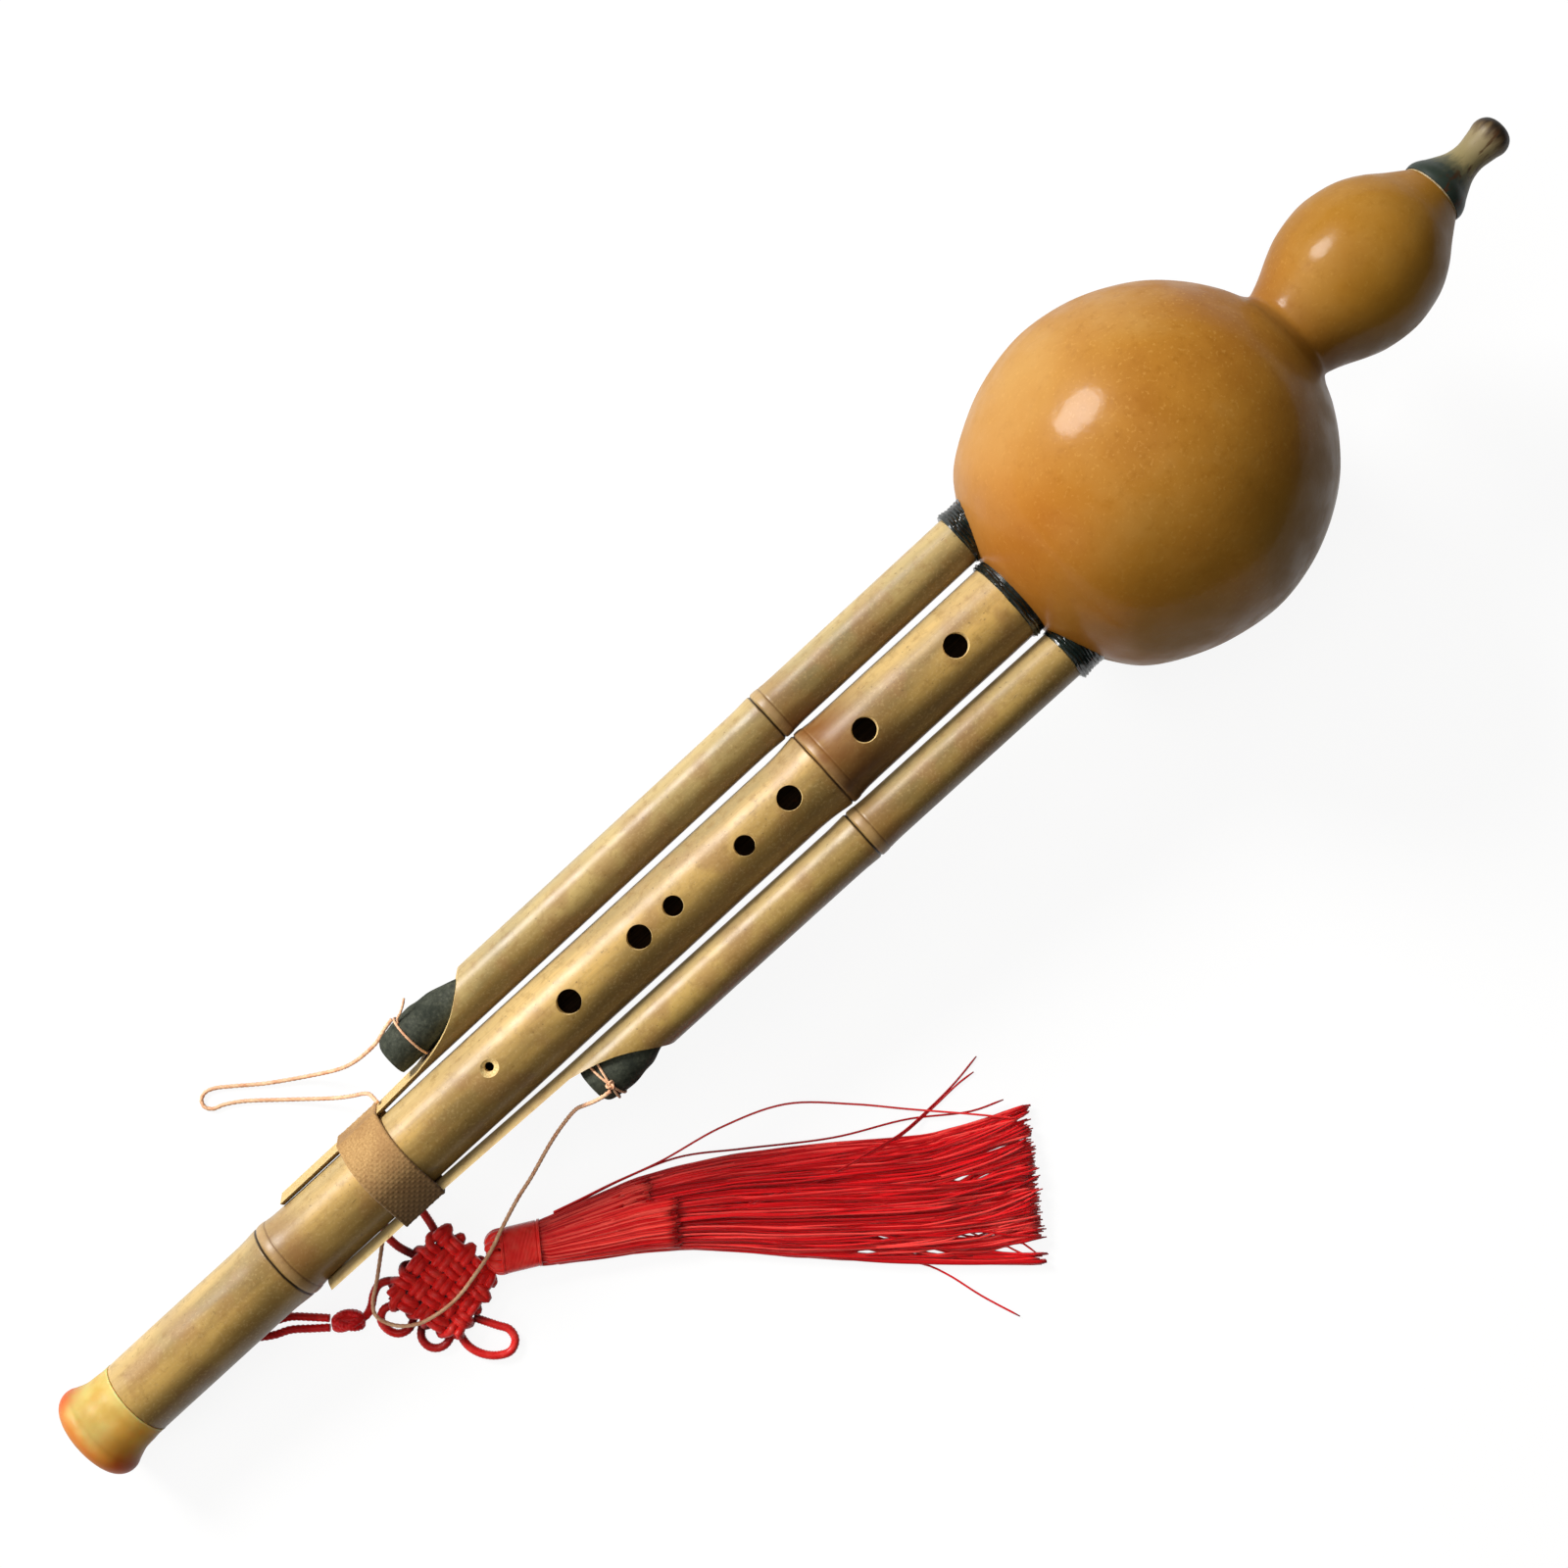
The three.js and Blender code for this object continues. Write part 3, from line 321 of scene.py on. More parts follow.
# Threads that stray from the bundle: along, across and up
STRAYS = [
    [(4, 7, 4.4), (10, 9, 3), (18.5, 12, 1.4), (31.3, 16.2, 0.4), (47.4, 23.1, 0.4),
     (63.8, 27.1, 0.4), (80.9, 25.3, 0.4), (94.3, 22.7, 0.6), (110.1, 19.9, 2.6),
     (121.6, 17.6, 2.9)],
    [(4, 6.6, 4.4), (12, 9.4, 2.6), (22, 13, 0.9), (36, 16.8, 0.4), (52, 17.2, 0.4),
     (75.1, 17.6, 0.5), (93.9, 20.2, 0.6), (110.1, 20.6, 1.6), (118.4, 22.6, 1.6)],
    [(52, 4, 4.6), (74.1, 9.4, 4.4), (83.1, 13.3, 3.8), (91.8, 17, 2.2), (100.1, 22.6, 0.6),
     (106.8, 28, 0.4), (112.9, 34, 0.4)],
    [(52, 3.4, 4.4), (74.1, 8.9, 4.2), (83.1, 12.7, 3.6), (91.7, 16.4, 2), (100.1, 22, 0.5),
     (107.6, 27.7, 0.4), (111.8, 30.2, 0.4)],
    [(60, -9, 2.4), (79.6, -13.2, 1), (94.2, -16, 0.4), (100, -19.2, 0.4), (108, -25.4, 0.4),
     (117.1, -31.5, 0.4)],
]
# A few threads that lie together along the lower edge of the skirt
LOWER_BUNDLE = [(58, -8.6, 1.2), (72, -11.6, 1), (84.4, -14, 0.9), (94.1, -15.4, 0.9),
                (106.3, -16.9, 0.9), (116.1, -17.8, 0.9), (121.5, -18.3, 0.9), (125, -18.5, 0.9)]

# Routes of the cords, point by point, above the table
STRAND_ROUTES = {
    "first": [(-182.77, 0, 9.02), (-182.66, 0, 7.9), (-182.54, 0, 6.7), (-182.44, -0.05, 5.5),
              (-182.7, -0.6, 3.9), (-183.7, -2, 2.4), (-184.6, -4, 1.6), (-183.8, -6.5, 1.2),
              (-180.6, -8.8, 1.2), (-176.6, -10.9, 1.2), (-172.6, -14.6, 1.8),
              (-169.5, -17.65, 2.7)],
    "second": [(-187.15, 0, 8.6), (-187.04, 0, 7.5), (-186.92, 0, 6.3), (-186.82, -0.05, 5.1),
               (-187, -0.6, 3.7), (-187.7, -2.2, 2.4), (-188, -5, 1.6), (-186.1, -8.6, 1.2),
               (-182.4, -11.5, 1.2), (-178.5, -13.4, 1.2), (-174.5, -16.6, 1.8),
               (-170.95, -19.45, 2.7)],
}
TETHER_ROUTES = {
    "left": [(-108.2, 25.5, 21.2), (-111, 25, 20.3), (-114.4, 24, 19.3), (-119, 23.9, 15.6),
             (-122.9, 24.4, 11.4), (-126.9, 25.7, 6.6), (-132.6, 28.8, 2.2), (-142.9, 35.4, 0.8),
             (-149.6, 40.6, 0.7), (-152.9, 43, 0.7), (-155.2, 43.8, 0.7), (-157.1, 43.1, 0.7),
             (-157.7, 41.2, 0.7), (-156.5, 39.5, 0.7), (-154.2, 38.6, 0.7), (-150.3, 36.2, 0.7),
             (-142.1, 29.2, 0.8), (-132.9, 21.4, 3.6), (-128.6, 18.6, 9), (-125.6, 17, 14.6),
             (-124.2, 15.6, 18.8), (-124, 13.15, 20.6)],
    "right": [(-80.95, -22.2, 32.2), (-83.3, -22, 31.4), (-85.9, -21.4, 29.2), (-88, -20.8, 25.3),
              (-90.6, -20.3, 20.4), (-95.3, -21, 16.6), (-100.8, -22.4, 13.9),
              (-110.1, -25.5, 10.7), (-115.6, -27, 9.7), (-122.7, -29.5, 9.2), (-129.3, -32.1, 9),
              (-136.2, -33.8, 8.6), (-142.3, -34.9, 7.9), (-147.7, -34.8, 7.4),
              (-153.8, -33.3, 7.1), (-157.8, -30.4, 6.9), (-159.9, -26.8, 6.8),
              (-160.2, -24.3, 6.7), (-158.4, -21.6, 6.5), (-155.2, -19.2, 6.4),
              (-149.5, -14.5, 6.1), (-142, -8.2, 5.7), (-134.4, -2.4, 5.6), (-131, -0.4, 7.5),
              (-130.3, 0, 9.85)],
}
EAR_ROUTES = [
    [(-164.1, -23.03, 2.9), (-162.5, -23.3, 2.4), (-160.2, -22.4, 1.6), (-158.1, -20.8, 1.4),
     (-155.6, -19.9, 1.6), (-153.1, -20.8, 2), (-150.9, -23.6, 2.4)],
    [(-152, -33.2, 1.3), (-154.9, -34.8, 1.2), (-156.6, -36.6, 1.2), (-156.8, -39.1, 1.2),
     (-155.6, -41, 1.2), (-153.5, -41.8, 1.2), (-150.9, -41.1, 1.2), (-147, -38.4, 1.3)],
    [(-148.7, -40, 1.3), (-149.6, -45.8, 1.2), (-148.4, -49.6, 1.2), (-145.8, -52.6, 1.2),
     (-142.8, -53.9, 1.2), (-140.2, -52.6, 1.2), (-139.6, -49.8, 1.2), (-141.2, -46.8, 1.2),
     (-144, -41.6, 1.3)],
    [(-155.4, -26.2, 1.6), (-158.7, -25.2, 1.3), (-160.9, -26.6, 1.2), (-161.3, -29.4, 1.2),
     (-160, -32, 1.2), (-157.4, -32.9, 1.2), (-153.2, -30.8, 1.3)],
    [(-137.6, -22.6, 1.4), (-136.2, -16.6, 1.3), (-136, -12, 1.2), (-138, -8.8, 1.2),
     (-142.4, -8.4, 1.2), (-145.8, -11.2, 1.2), (-146, -15.6, 1.3), (-144.2, -21, 1.4)],
]

# Places


def instrument_place():
    """The instrument's own frame, from the bell rim's mount: along, to the left, up."""
    rim = next(m for m in frame["record"]["mounts"] if m["name"] == "bell_rim")
    along = -Vector(rim["axis"]).normalized()
    left = Vector((0, 1, 0))
    place = Matrix((along, left, along.cross(left))).transposed().to_4x4()
    place.translation = (rim["pos_m"][0], 0, rim["pos_m"][2])
    return place


def shifted(x, y, z=0.0):
    return Matrix.Translation(Vector((x, y, z)) * MM)


def turned_about_up(angle):
    return Matrix.Rotation(angle, 4, "Z")


INSTRUMENT = instrument_place()
GOURD = INSTRUMENT @ shifted(BELL_TO_GOURD, 0) @ turned_about_up(GOURD_LEAN)
SPLAY = math.asin((DRONE_SPACING - BINDING_SPACING) / (COLLAR_AT - BINDING_AT))
DRONE = {side: INSTRUMENT @ shifted(COLLAR_AT, side * DRONE_SPACING) @ turned_about_up(side * SPLAY)
         for side in (1, -1)}


def on_table(at, turn):
    return shifted(at[0], at[1], TABLE_GAP) @ turned_about_up(turn)


TASSEL = on_table(TASSEL_AT, TASSEL_TURN)


# Meshes


def add(name, points, faces, material, place=Matrix(), second=None, second_faces=()):
    """An object from points in millimetres, moved to a place; some faces have a second material."""
    mesh = bpy.data.meshes.new(name)
    mesh.from_pydata((np.asarray(points, float) * MM).tolist(), [], faces)
    mesh.materials.append(material)
    mesh.polygons.foreach_set("use_smooth", [True] * len(mesh.polygons))
    if second:
        mesh.materials.append(second)
        for index in second_faces:
            mesh.polygons[index].material_index = 1
    made = bmesh.new()
    made.from_mesh(mesh)
    bmesh.ops.recalc_face_normals(made, faces=made.faces)
    made.to_mesh(mesh)
    made.free()
    mesh.transform(place)
    piece = bpy.data.objects.new(name, mesh)
    bpy.context.scene.collection.objects.link(piece)
    return piece


def grid_faces(rows, columns, first=0, close_rows=False):
    """Quads of a grid of points whose columns close on themselves."""
    faces = []
    for i in range(rows if close_rows else rows - 1):
        a, b = first + i * columns, first + ((i + 1) % rows) * columns
        for j in range(columns):
            k = (j + 1) % columns
            faces.append((a + j, a + k, b + k, b + j))
    return faces


def spline(points, step):
    """Points at even steps along a smooth curve through all the points."""
    p = np.asarray(points, float)
    p = np.vstack([2 * p[0] - p[1], p, 2 * p[-1] - p[-2]])
    fine = []
    for a, b, c, d in zip(p, p[1:], p[2:], p[3:]):
        u, v, w = (max(np.linalg.norm(e - s), 1e-12) ** 0.5 for s, e in ((a, b), (b, c), (c, d)))
        start = ((b - a) / u - (c - a) / (u + v) + (c - b) / v) * v
        end = ((c - b) / v - (d - b) / (v + w) + (d - c) / w) * v
        for t in np.linspace(0, 1, CURVE_STEPS, endpoint=False):
            fine.append(b + start * t + (-3 * b + 3 * c - 2 * start - end) * t**2
                        + (2 * b - 2 * c + start + end) * t**3)
    fine = np.array(fine + [p[-2]])
    run = run_along(fine)
    even = np.linspace(0, run[-1], max(2, round(run[-1] / step) + 1))
    return np.column_stack([np.interp(even, run, fine[:, i]) for i in range(p.shape[1])])


def run_along(points):
    """Distance from the first point to each point, along them."""
    return np.concatenate([[0], np.cumsum(np.linalg.norm(np.diff(points, axis=0), axis=1))])


def straight(points, step):
    """Points at even steps along straight runs, with every corner kept."""
    fine = [points[0]]
    for a, b in zip(points, points[1:]):
        count = max(1, math.ceil(math.dist(a, b) / step))
        fine += [tuple(np.add(a, np.subtract(b, a) * (i + 1) / count)) for i in range(count)]
    return fine


def turned(name, outline, sides, material, place, wobble=None, bore_from=None):
    """A closed outline of [along, radius] points, turned about the X axis, with a dark bore."""
    outline = np.asarray(outline, float)
    turn = np.arange(sides) * FULL_TURN / sides
    along, radius = outline[:, :1], outline[:, 1:2]
    points = np.stack([np.repeat(along, sides, 1), radius * np.cos(turn), radius * np.sin(turn)], 2)
    if wobble:
        points = wobble(points)
    faces = grid_faces(len(outline), sides, close_rows=True)
    second = None if bore_from is None else LOOKS["bore"]
    dark = range(bore_from * sides, len(faces) - sides) if second else ()
    return add(name, points.reshape(-1, 3), faces, material, place, second, dark)


def turned_plug(name, outline, sides, material, place, shift=None, wobble=None):
    """A solid piece turned about the X axis, closed by a point at both ends."""
    outline = np.asarray(outline, float)
    turn = np.arange(sides) * FULL_TURN / sides
    shift = np.zeros(len(outline)) if shift is None else np.asarray(shift)
    points = [(outline[0, 0], shift[0], 0)]
    for (along, radius), aside in zip(outline, shift):
        points += [(along, aside + radius * math.cos(t), radius * math.sin(t)) for t in turn]
    points.append((outline[-1, 0], shift[-1], 0))
    if wobble:
        points = wobble(np.array([points]))[0]
    faces = grid_faces(len(outline), sides, first=1)
    last = len(points) - 1
    for j in range(sides):
        k = (j + 1) % sides
        faces.append((0, 1 + k, 1 + j))
        faces.append((last, last - sides + j, last - sides + k))
    return add(name, points, faces, material, place)


def frames_along(path):
    """Two turning-free normals at each point of a path."""
    tangent = np.gradient(path, axis=0)
    tangent /= np.linalg.norm(tangent, axis=1, keepdims=True)
    side = np.cross(tangent[0], (0, 0, 1))
    if np.linalg.norm(side) < 0.1:
        side = np.cross(tangent[0], (0, 1, 0))
    sides = []
    for t in tangent:
        side = side - t * np.dot(side, t)
        side = side / np.linalg.norm(side)
        sides.append(side)
    sides = np.array(sides)
    return sides, np.cross(tangent, sides)


def tube_points(path, radius, sides, lobes=0, lay=1.0, depth=0.0, taper=None):
    """Rings of points round a path. Lobes wind round it once in every lay."""
    path = np.asarray(path, float)
    a, b = frames_along(path)
    turn = np.arange(sides) * FULL_TURN / sides
    phase = turn[None, :] - (FULL_TURN * run_along(path) / lay)[:, None]
    reach = radius * (1 - depth * (1 - np.abs(np.cos(lobes * phase / 2)))) if lobes else radius
    reach = np.broadcast_to(reach, phase.shape)
    if taper is not None:
        reach = reach * np.asarray(taper)[:, None]
    ring = np.cos(turn)[None, :, None] * a[:, None] + np.sin(turn)[None, :, None] * b[:, None]
    return path[:, None] + ring * reach[:, :, None]


def tubes(name, paths, material, place=Matrix(), **shape):
    """One object of closed tubes; shape may hold lists with one value for each path."""
    points, faces, first = [], [], 0
    for i, path in enumerate(paths):
        here = {key: value[i] if isinstance(value, list) else value for key, value in shape.items()}
        rings = tube_points(path, **here)
        rows, sides = rings.shape[:2]
        faces += grid_faces(rows, sides, first)
        faces.append(tuple(first + j for j in range(sides)))
        faces.append(tuple(first + (rows - 1) * sides + j for j in reversed(range(sides))))
        points.append(rings.reshape(-1, 3))
        first += rows * sides
    return add(name, np.vstack(points), faces, material, place)


def slab(name, outline, low, high, material, place):
    """A flat outline of [x, y] points between two heights."""
    count = len(outline)
    points = [(x, y, z) for z in (low, high) for x, y in outline]
    faces = [(j, (j + 1) % count, count + (j + 1) % count, count + j) for j in range(count)]
    faces += [tuple(range(count)), tuple(range(2 * count - 1, count - 1, -1))]
    return add(name, points, faces, material, place)


def cut(piece, *tools):
    """Cuts the tools out of a piece. The new walls keep the tools' materials."""
    for tool in tools:
        change = piece.modifiers.new("cut", "BOOLEAN")
        change.operation = "DIFFERENCE"
        change.object = tool
        change.solver = "EXACT"
        change.material_mode = "TRANSFER"
    seen = piece.evaluated_get(bpy.context.evaluated_depsgraph_get())
    piece.data = bpy.data.meshes.new_from_object(seen)
    piece.modifiers.clear()
    for tool in tools:
        bpy.data.objects.remove(tool)
    piece.data.set_sharp_from_angle(angle=CREASE)
    return piece


def uneven(amount, size, seed):
    """Draws points in towards the axis by up to an amount, unevenly."""

    def change(points):
        for row in points:
            for point in row:
                swell = noise.noise(Vector(point) / size + Vector((seed, 0, 0)))
                radius = math.hypot(point[1], point[2])
                point[1:] *= 1 - amount * (0.5 + 0.5 * swell) / max(radius, 1)
        return points

    return change


def finish(piece, body, slot, *nodes):
    """Places a piece on its body and hides the frame's nodes that it stands for; the slot is not
    used.
    """
    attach(piece, body)
    if nodes:
        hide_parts(*nodes)
    return piece


# Materials


def rgb(red, green, blue):
    """A colour as it shows on a screen, 0 to 255, for a shader."""
    return tuple(((c / 255 + 0.055) / 1.055) ** 2.4 if c > 10 else c / 255 / 12.92
                 for c in (red, green, blue)) + (1.0,)


class Look:
    """A procedural material; places in its textures are millimetres in the frame of its place."""

    def __init__(self, name, roughness, place=Matrix(), **constants):
        self.material = bpy.data.materials.new(name)
        self.material.use_nodes = True
        self.tree = self.material.node_tree
        self.shader = self.tree.nodes["Principled BSDF"]
        self.shader.inputs["Roughness"].default_value = roughness
        for socket, value in constants.items():
            self.shader.inputs[socket.replace("_", " ")].default_value = value
        world = self.node("ShaderNodeTexCoord").outputs["Object"]
        inverse = self.node("ShaderNodeMapping", Vector=world)
        inverse.vector_type = "TEXTURE"
        inverse.inputs["Location"].default_value = place.translation
        inverse.inputs["Rotation"].default_value = place.to_euler()
        inverse.inputs["Scale"].default_value = (MM, MM, MM)
        self.at = inverse.outputs["Vector"]
        split = self.node("ShaderNodeSeparateXYZ", Vector=self.at)
        self.x, self.y, self.z = split.outputs

    def node(self, kind, **inputs):
        made = self.tree.nodes.new(kind)
        for socket, value in inputs.items():
            self.put(made.inputs[socket.replace("_", " ")], value)
        return made

    def put(self, socket, value):
        if isinstance(value, bpy.types.NodeSocket):
            self.tree.links.new(value, socket)
        else:
            socket.default_value = value

    def stretched(self, along, across):
        """Places in periods of a pattern that is long along X."""
        node = self.node("ShaderNodeMapping", Vector=self.at)
        node.inputs["Scale"].default_value = (1 / along, 1 / across, 1 / across)
        return node.outputs["Vector"]

    def noise(self, size, detail=3.0, roughness=0.5, at=None):
        made = self.node("ShaderNodeTexNoise", Vector=at or self.at, Scale=1 / size, Detail=detail,
                         Roughness=roughness)
        return made.outputs["Fac"]

    def grain(self, along, across, detail=3.0, roughness=0.6):
        return self.noise(1, detail, roughness, self.stretched(along, across))

    def island(self):
        """A number that differs from thread to thread of a mesh."""
        return self.node("ShaderNodeNewGeometry").outputs["Random Per Island"]

    def math(self, operation, a, b=0.0):
        made = self.tree.nodes.new("ShaderNodeMath")
        made.operation = operation
        self.put(made.inputs[0], a)
        self.put(made.inputs[1], b)
        return made.outputs[0]

    def ramp(self, value, *stops):
        """Colours from [place, colour] stops, mixed by a value."""
        made = self.node("ShaderNodeValToRGB", Fac=value)
        ends = made.color_ramp.elements
        while len(ends) < len(stops):
            ends.new(0.5)
        for end, (place, colour) in zip(ends, stops):
            end.position = place
            end.color = rgb(*colour)
        return made.outputs["Color"]

    def span(self, value, low, high, start=0.0, end=1.0):
        """The value taken from low..high to start..end, and held beyond them."""
        made = self.node("ShaderNodeMapRange", Value=value)
        made.interpolation_type = "SMOOTHSTEP"
        for socket, number in zip(("From Min", "From Max", "To Min", "To Max"),
                                  (low, high, start, end)):
            made.inputs[socket].default_value = number
        return made.outputs["Result"]

    def near(self, value, middle, reach, most=1.0):
        """The most at the middle, falling to nothing at reach on both sides."""
        away = self.math("ABSOLUTE", self.math("SUBTRACT", value, middle))
        return self.span(away, 0.0, reach, most, 0.0)

    def both(self, a, b):
        return self.math("MULTIPLY", a, b)

    def over(self, base, share, colour):
        """A base colour with a share of another over it."""
        made = self.tree.nodes.new("ShaderNodeMix")
        made.data_type = "RGBA"
        for index, value in ((0, share), (6, base), (7, rgb(*colour))):
            self.put(made.inputs[index], value)
        return made.outputs[2]

    def layered(self, base, layers):
        """A base colour with shares of others over it, one after another."""
        for share, colour in layers:
            base = self.over(base, share, colour)
        return base

    def colour(self, value):
        self.put(self.shader.inputs["Base Color"], value)

    def rough(self, value):
        self.put(self.shader.inputs["Roughness"], value)

    def bump(self, height, distance, strength=1.0):
        made = self.node("ShaderNodeBump", Height=height, Strength=strength)
        made.inputs["Distance"].default_value = distance * MM
        before = self.shader.inputs["Normal"].links
        if before:
            self.tree.links.new(before[0].from_socket, made.inputs["Normal"])
        for socket in ("Normal", "Coat Normal"):
            self.tree.links.new(made.outputs["Normal"], self.shader.inputs[socket])


def gourd_look():
    look = Look("lacquered_gourd", 0.44, GOURD, Specular_IOR_Level=0.08, Coat_Weight=0.085,
                Coat_Roughness=0.16, Coat_IOR=1.9)
    base = look.ramp(look.noise(24, 4, 0.55), (0.32, (165, 106, 34)), (0.5, (177, 119, 42)),
                     (0.68, (185, 133, 62)))
    base = look.layered(base, [
        (look.span(look.noise(2.6, 5, 0.65), 0.5, 0.72, 0, 0.35), (148, 90, 18)),
        (look.span(look.noise(0.9, 2), 0.56, 0.75, 0, 0.4), (206, 154, 76)),
        (look.span(look.x, -5, -44, 0, 0.5), (190, 110, 38)),
    ])
    # Painted light over a paler tone: paler towards +Y, the key lamp's side.
    pale = look.both(look.span(look.y, 8, 40, 0, 0.5), look.span(look.x, 30, -20))
    base = look.over(base, pale, (206, 160, 94))
    cloud = look.span(look.noise(28, 2), 0.3, 0.6, 0.45, 0.85)
    # Olive tone with painted shade: darker towards -Y, away from the key lamp.
    olive_and_painted_shade = look.both(look.span(look.y, 14, -34), cloud)
    base = look.layered(base, [
        (olive_and_painted_shade, (132, 94, 24)),
        (look.near(look.x, NECK_REACH, 9, 0.5), (134, 82, 20)),
        (look.span(look.x, NECK_REACH, NECK_REACH + 20, 0, 0.5), (150, 106, 30)),
    ])
    look.colour(base)
    look.rough(look.span(look.noise(7, 4), 0.3, 0.7, 0.34, 0.52))
    look.bump(look.noise(5, 3), 0.25, 0.35)
    look.bump(look.noise(1.5, 3), 0.06, 0.5)
    return look.material


def bamboo_look(name, place, nodes, radius, tint, stain=None):
    """Varnished bamboo with its fibres along X, with painted light on one side and painted shade on
    the other.
    """
    look = Look(name, 0.45, place, Specular_IOR_Level=0.35, Coat_Weight=0.24, Coat_Roughness=0.3)
    dark = [c * 0.78 for c in tint]
    pale = [c * 1.14 for c in tint]
    base = look.ramp(look.grain(45, 9, 3, 0.5), (0.36, dark), (0.5, tint), (0.64, pale))
    base = look.layered(base, [
        (look.span(look.grain(26, 5), 0.5, 0.7, 0, 0.5), (158, 122, 58)),
        (look.span(look.noise(11, 3), 0.5, 0.66, 0, 0.5), (156, 112, 66)),
        # Painted light: paler towards +Y, the key lamp's side. Painted shade: darker towards -Y.
        (look.span(look.y, 0.3 * radius, 0.9 * radius, 0, 0.35), (228, 208, 160)),
        (look.span(look.y, 0.1 * radius, -0.95 * radius, 0, 0.62), (88, 62, 26)),
    ])
    fibre = look.grain(70, 0.9, 4)
    base = look.over(base, look.span(fibre, 0.48, 0.75, 0, 0.22), (134, 98, 46))
    fine = look.grain(30, 0.25)
    base = look.layered(base, [
        (look.span(fine, 0.5, 0.8, 0, 0.15), (120, 86, 40)),
        (look.span(look.noise(2.4, 4, 0.65), 0.48, 0.72, 0, 0.45), (144, 106, 50)),
        (look.span(look.noise(0.7, 3, 0.6), 0.5, 0.7, 0, 0.3), (206, 176, 118)),
        (look.span(look.noise(0.9, 2), 0.66, 0.76, 0, 0.5), (96, 70, 34)),
        (look.span(look.grain(5, 0.7, 2, 0.5), 0.73, 0.8, 0, 0.7), (86, 58, 26)),
    ])
    along = look.math("ADD", look.x, look.math("MULTIPLY", look.noise(4, 2), 0.3))
    for at in nodes:
        base = look.over(base, look.near(along, at + 5, 10, 0.4), (142, 92, 44))
        base = look.over(base, look.near(along, at + SCAR_WIDTH / 2, 1.8, 0.35), (196, 158, 112))
        base = look.over(base, look.near(along, at + SCAR_WIDTH, 0.4, 0.45), (96, 60, 32))
        base = look.over(base, look.near(along, at, 0.5), (34, 22, 12))
    if stain:
        start, end = stain
        above = look.both(look.near(along, start, end - start), look.span(along, start - 3, start))
        blot = look.both(above, look.span(look.grain(16, 8, 4), 0.35, 0.6, 0.35, 0.9))
        base = look.over(base, blot, (132, 82, 34))
        # Painted shade: the stain is darker towards -Y, away from the key lamp.
        base = look.over(base, look.both(blot, look.span(look.y, 2, -9)), (66, 42, 18))
    look.colour(base)
    look.rough(look.span(look.noise(5, 3), 0.3, 0.7, 0.38, 0.5))
    look.bump(look.noise(1.2, 3), 0.03, 0.4)
    look.bump(fibre, 0.05, 0.3)
    return look.material


def cut_bamboo_look():
    look = Look("cut_bamboo", 0.7)
    fibre = look.noise(0.5, 3, 0.6)
    look.colour(look.ramp(fibre, (0.35, (206, 168, 104)), (0.65, (240, 214, 150))))
    look.bump(fibre, 0.06, 0.5)
    return look.material


def bore_look():
    look = Look("dark_bore", 0.85, INSTRUMENT, Specular_IOR_Level=0.2)
    fibre = look.grain(20, 0.5)
    look.colour(look.ramp(fibre, (0.3, (50, 34, 20)), (0.7, (86, 62, 38))))
    look.bump(fibre, 0.08, 0.5)
    return look.material


def wax_look():
    look = Look("sealing_wax", 0.3, INSTRUMENT, Coat_Weight=0.5, Coat_Roughness=0.12)
    look.colour(look.ramp(look.noise(3, 3), (0.3, (6, 12, 10)), (0.7, (22, 34, 30))))
    look.rough(look.span(look.noise(2, 3), 0.35, 0.7, 0.22, 0.5))
    look.bump(look.grain(0.5, 6, 2), 0.12, 0.6)
    look.bump(look.noise(0.6, 2), 0.06, 0.5)
    return look.material


def horn_look():
    look = Look("horn", 0.5, GOURD, Specular_IOR_Level=0.25, Coat_Weight=0.06, Coat_Roughness=0.3)
    start = MOUTH_REACH + SEAL_THICKNESS
    streak = look.grain(14, 1.5, 4)
    along = look.math("ADD", look.x, look.math("MULTIPLY", streak, 7))
    share = look.math("DIVIDE", look.math("SUBTRACT", along, start + 3.5), MOUTHPIECE_LENGTH)
    body = look.ramp(share, (0, (40, 50, 42)), (0.18, (50, 58, 48)), (0.3, (98, 94, 68)),
                     (0.42, (146, 132, 90)), (0.74, (142, 126, 90)), (0.85, (100, 82, 56)),
                     (0.93, (56, 42, 28)), (1, (34, 30, 22)))
    streaks = look.span(look.grain(7, 1.6, 3), 0.52, 0.64, 0, 0.85)
    body = look.over(body, look.both(streaks, look.span(look.y, 3, -2)), (70, 38, 14))
    look.colour(body)
    look.bump(streak, 0.08, 0.4)
    return look.material


def seal_look():
    look = Look("seal_ring", 0.55, GOURD)
    look.colour(look.ramp(look.noise(1.2, 3), (0.3, (150, 122, 80)), (0.7, (206, 186, 146))))
    look.bump(look.noise(0.6, 2), 0.05, 0.5)
    return look.material


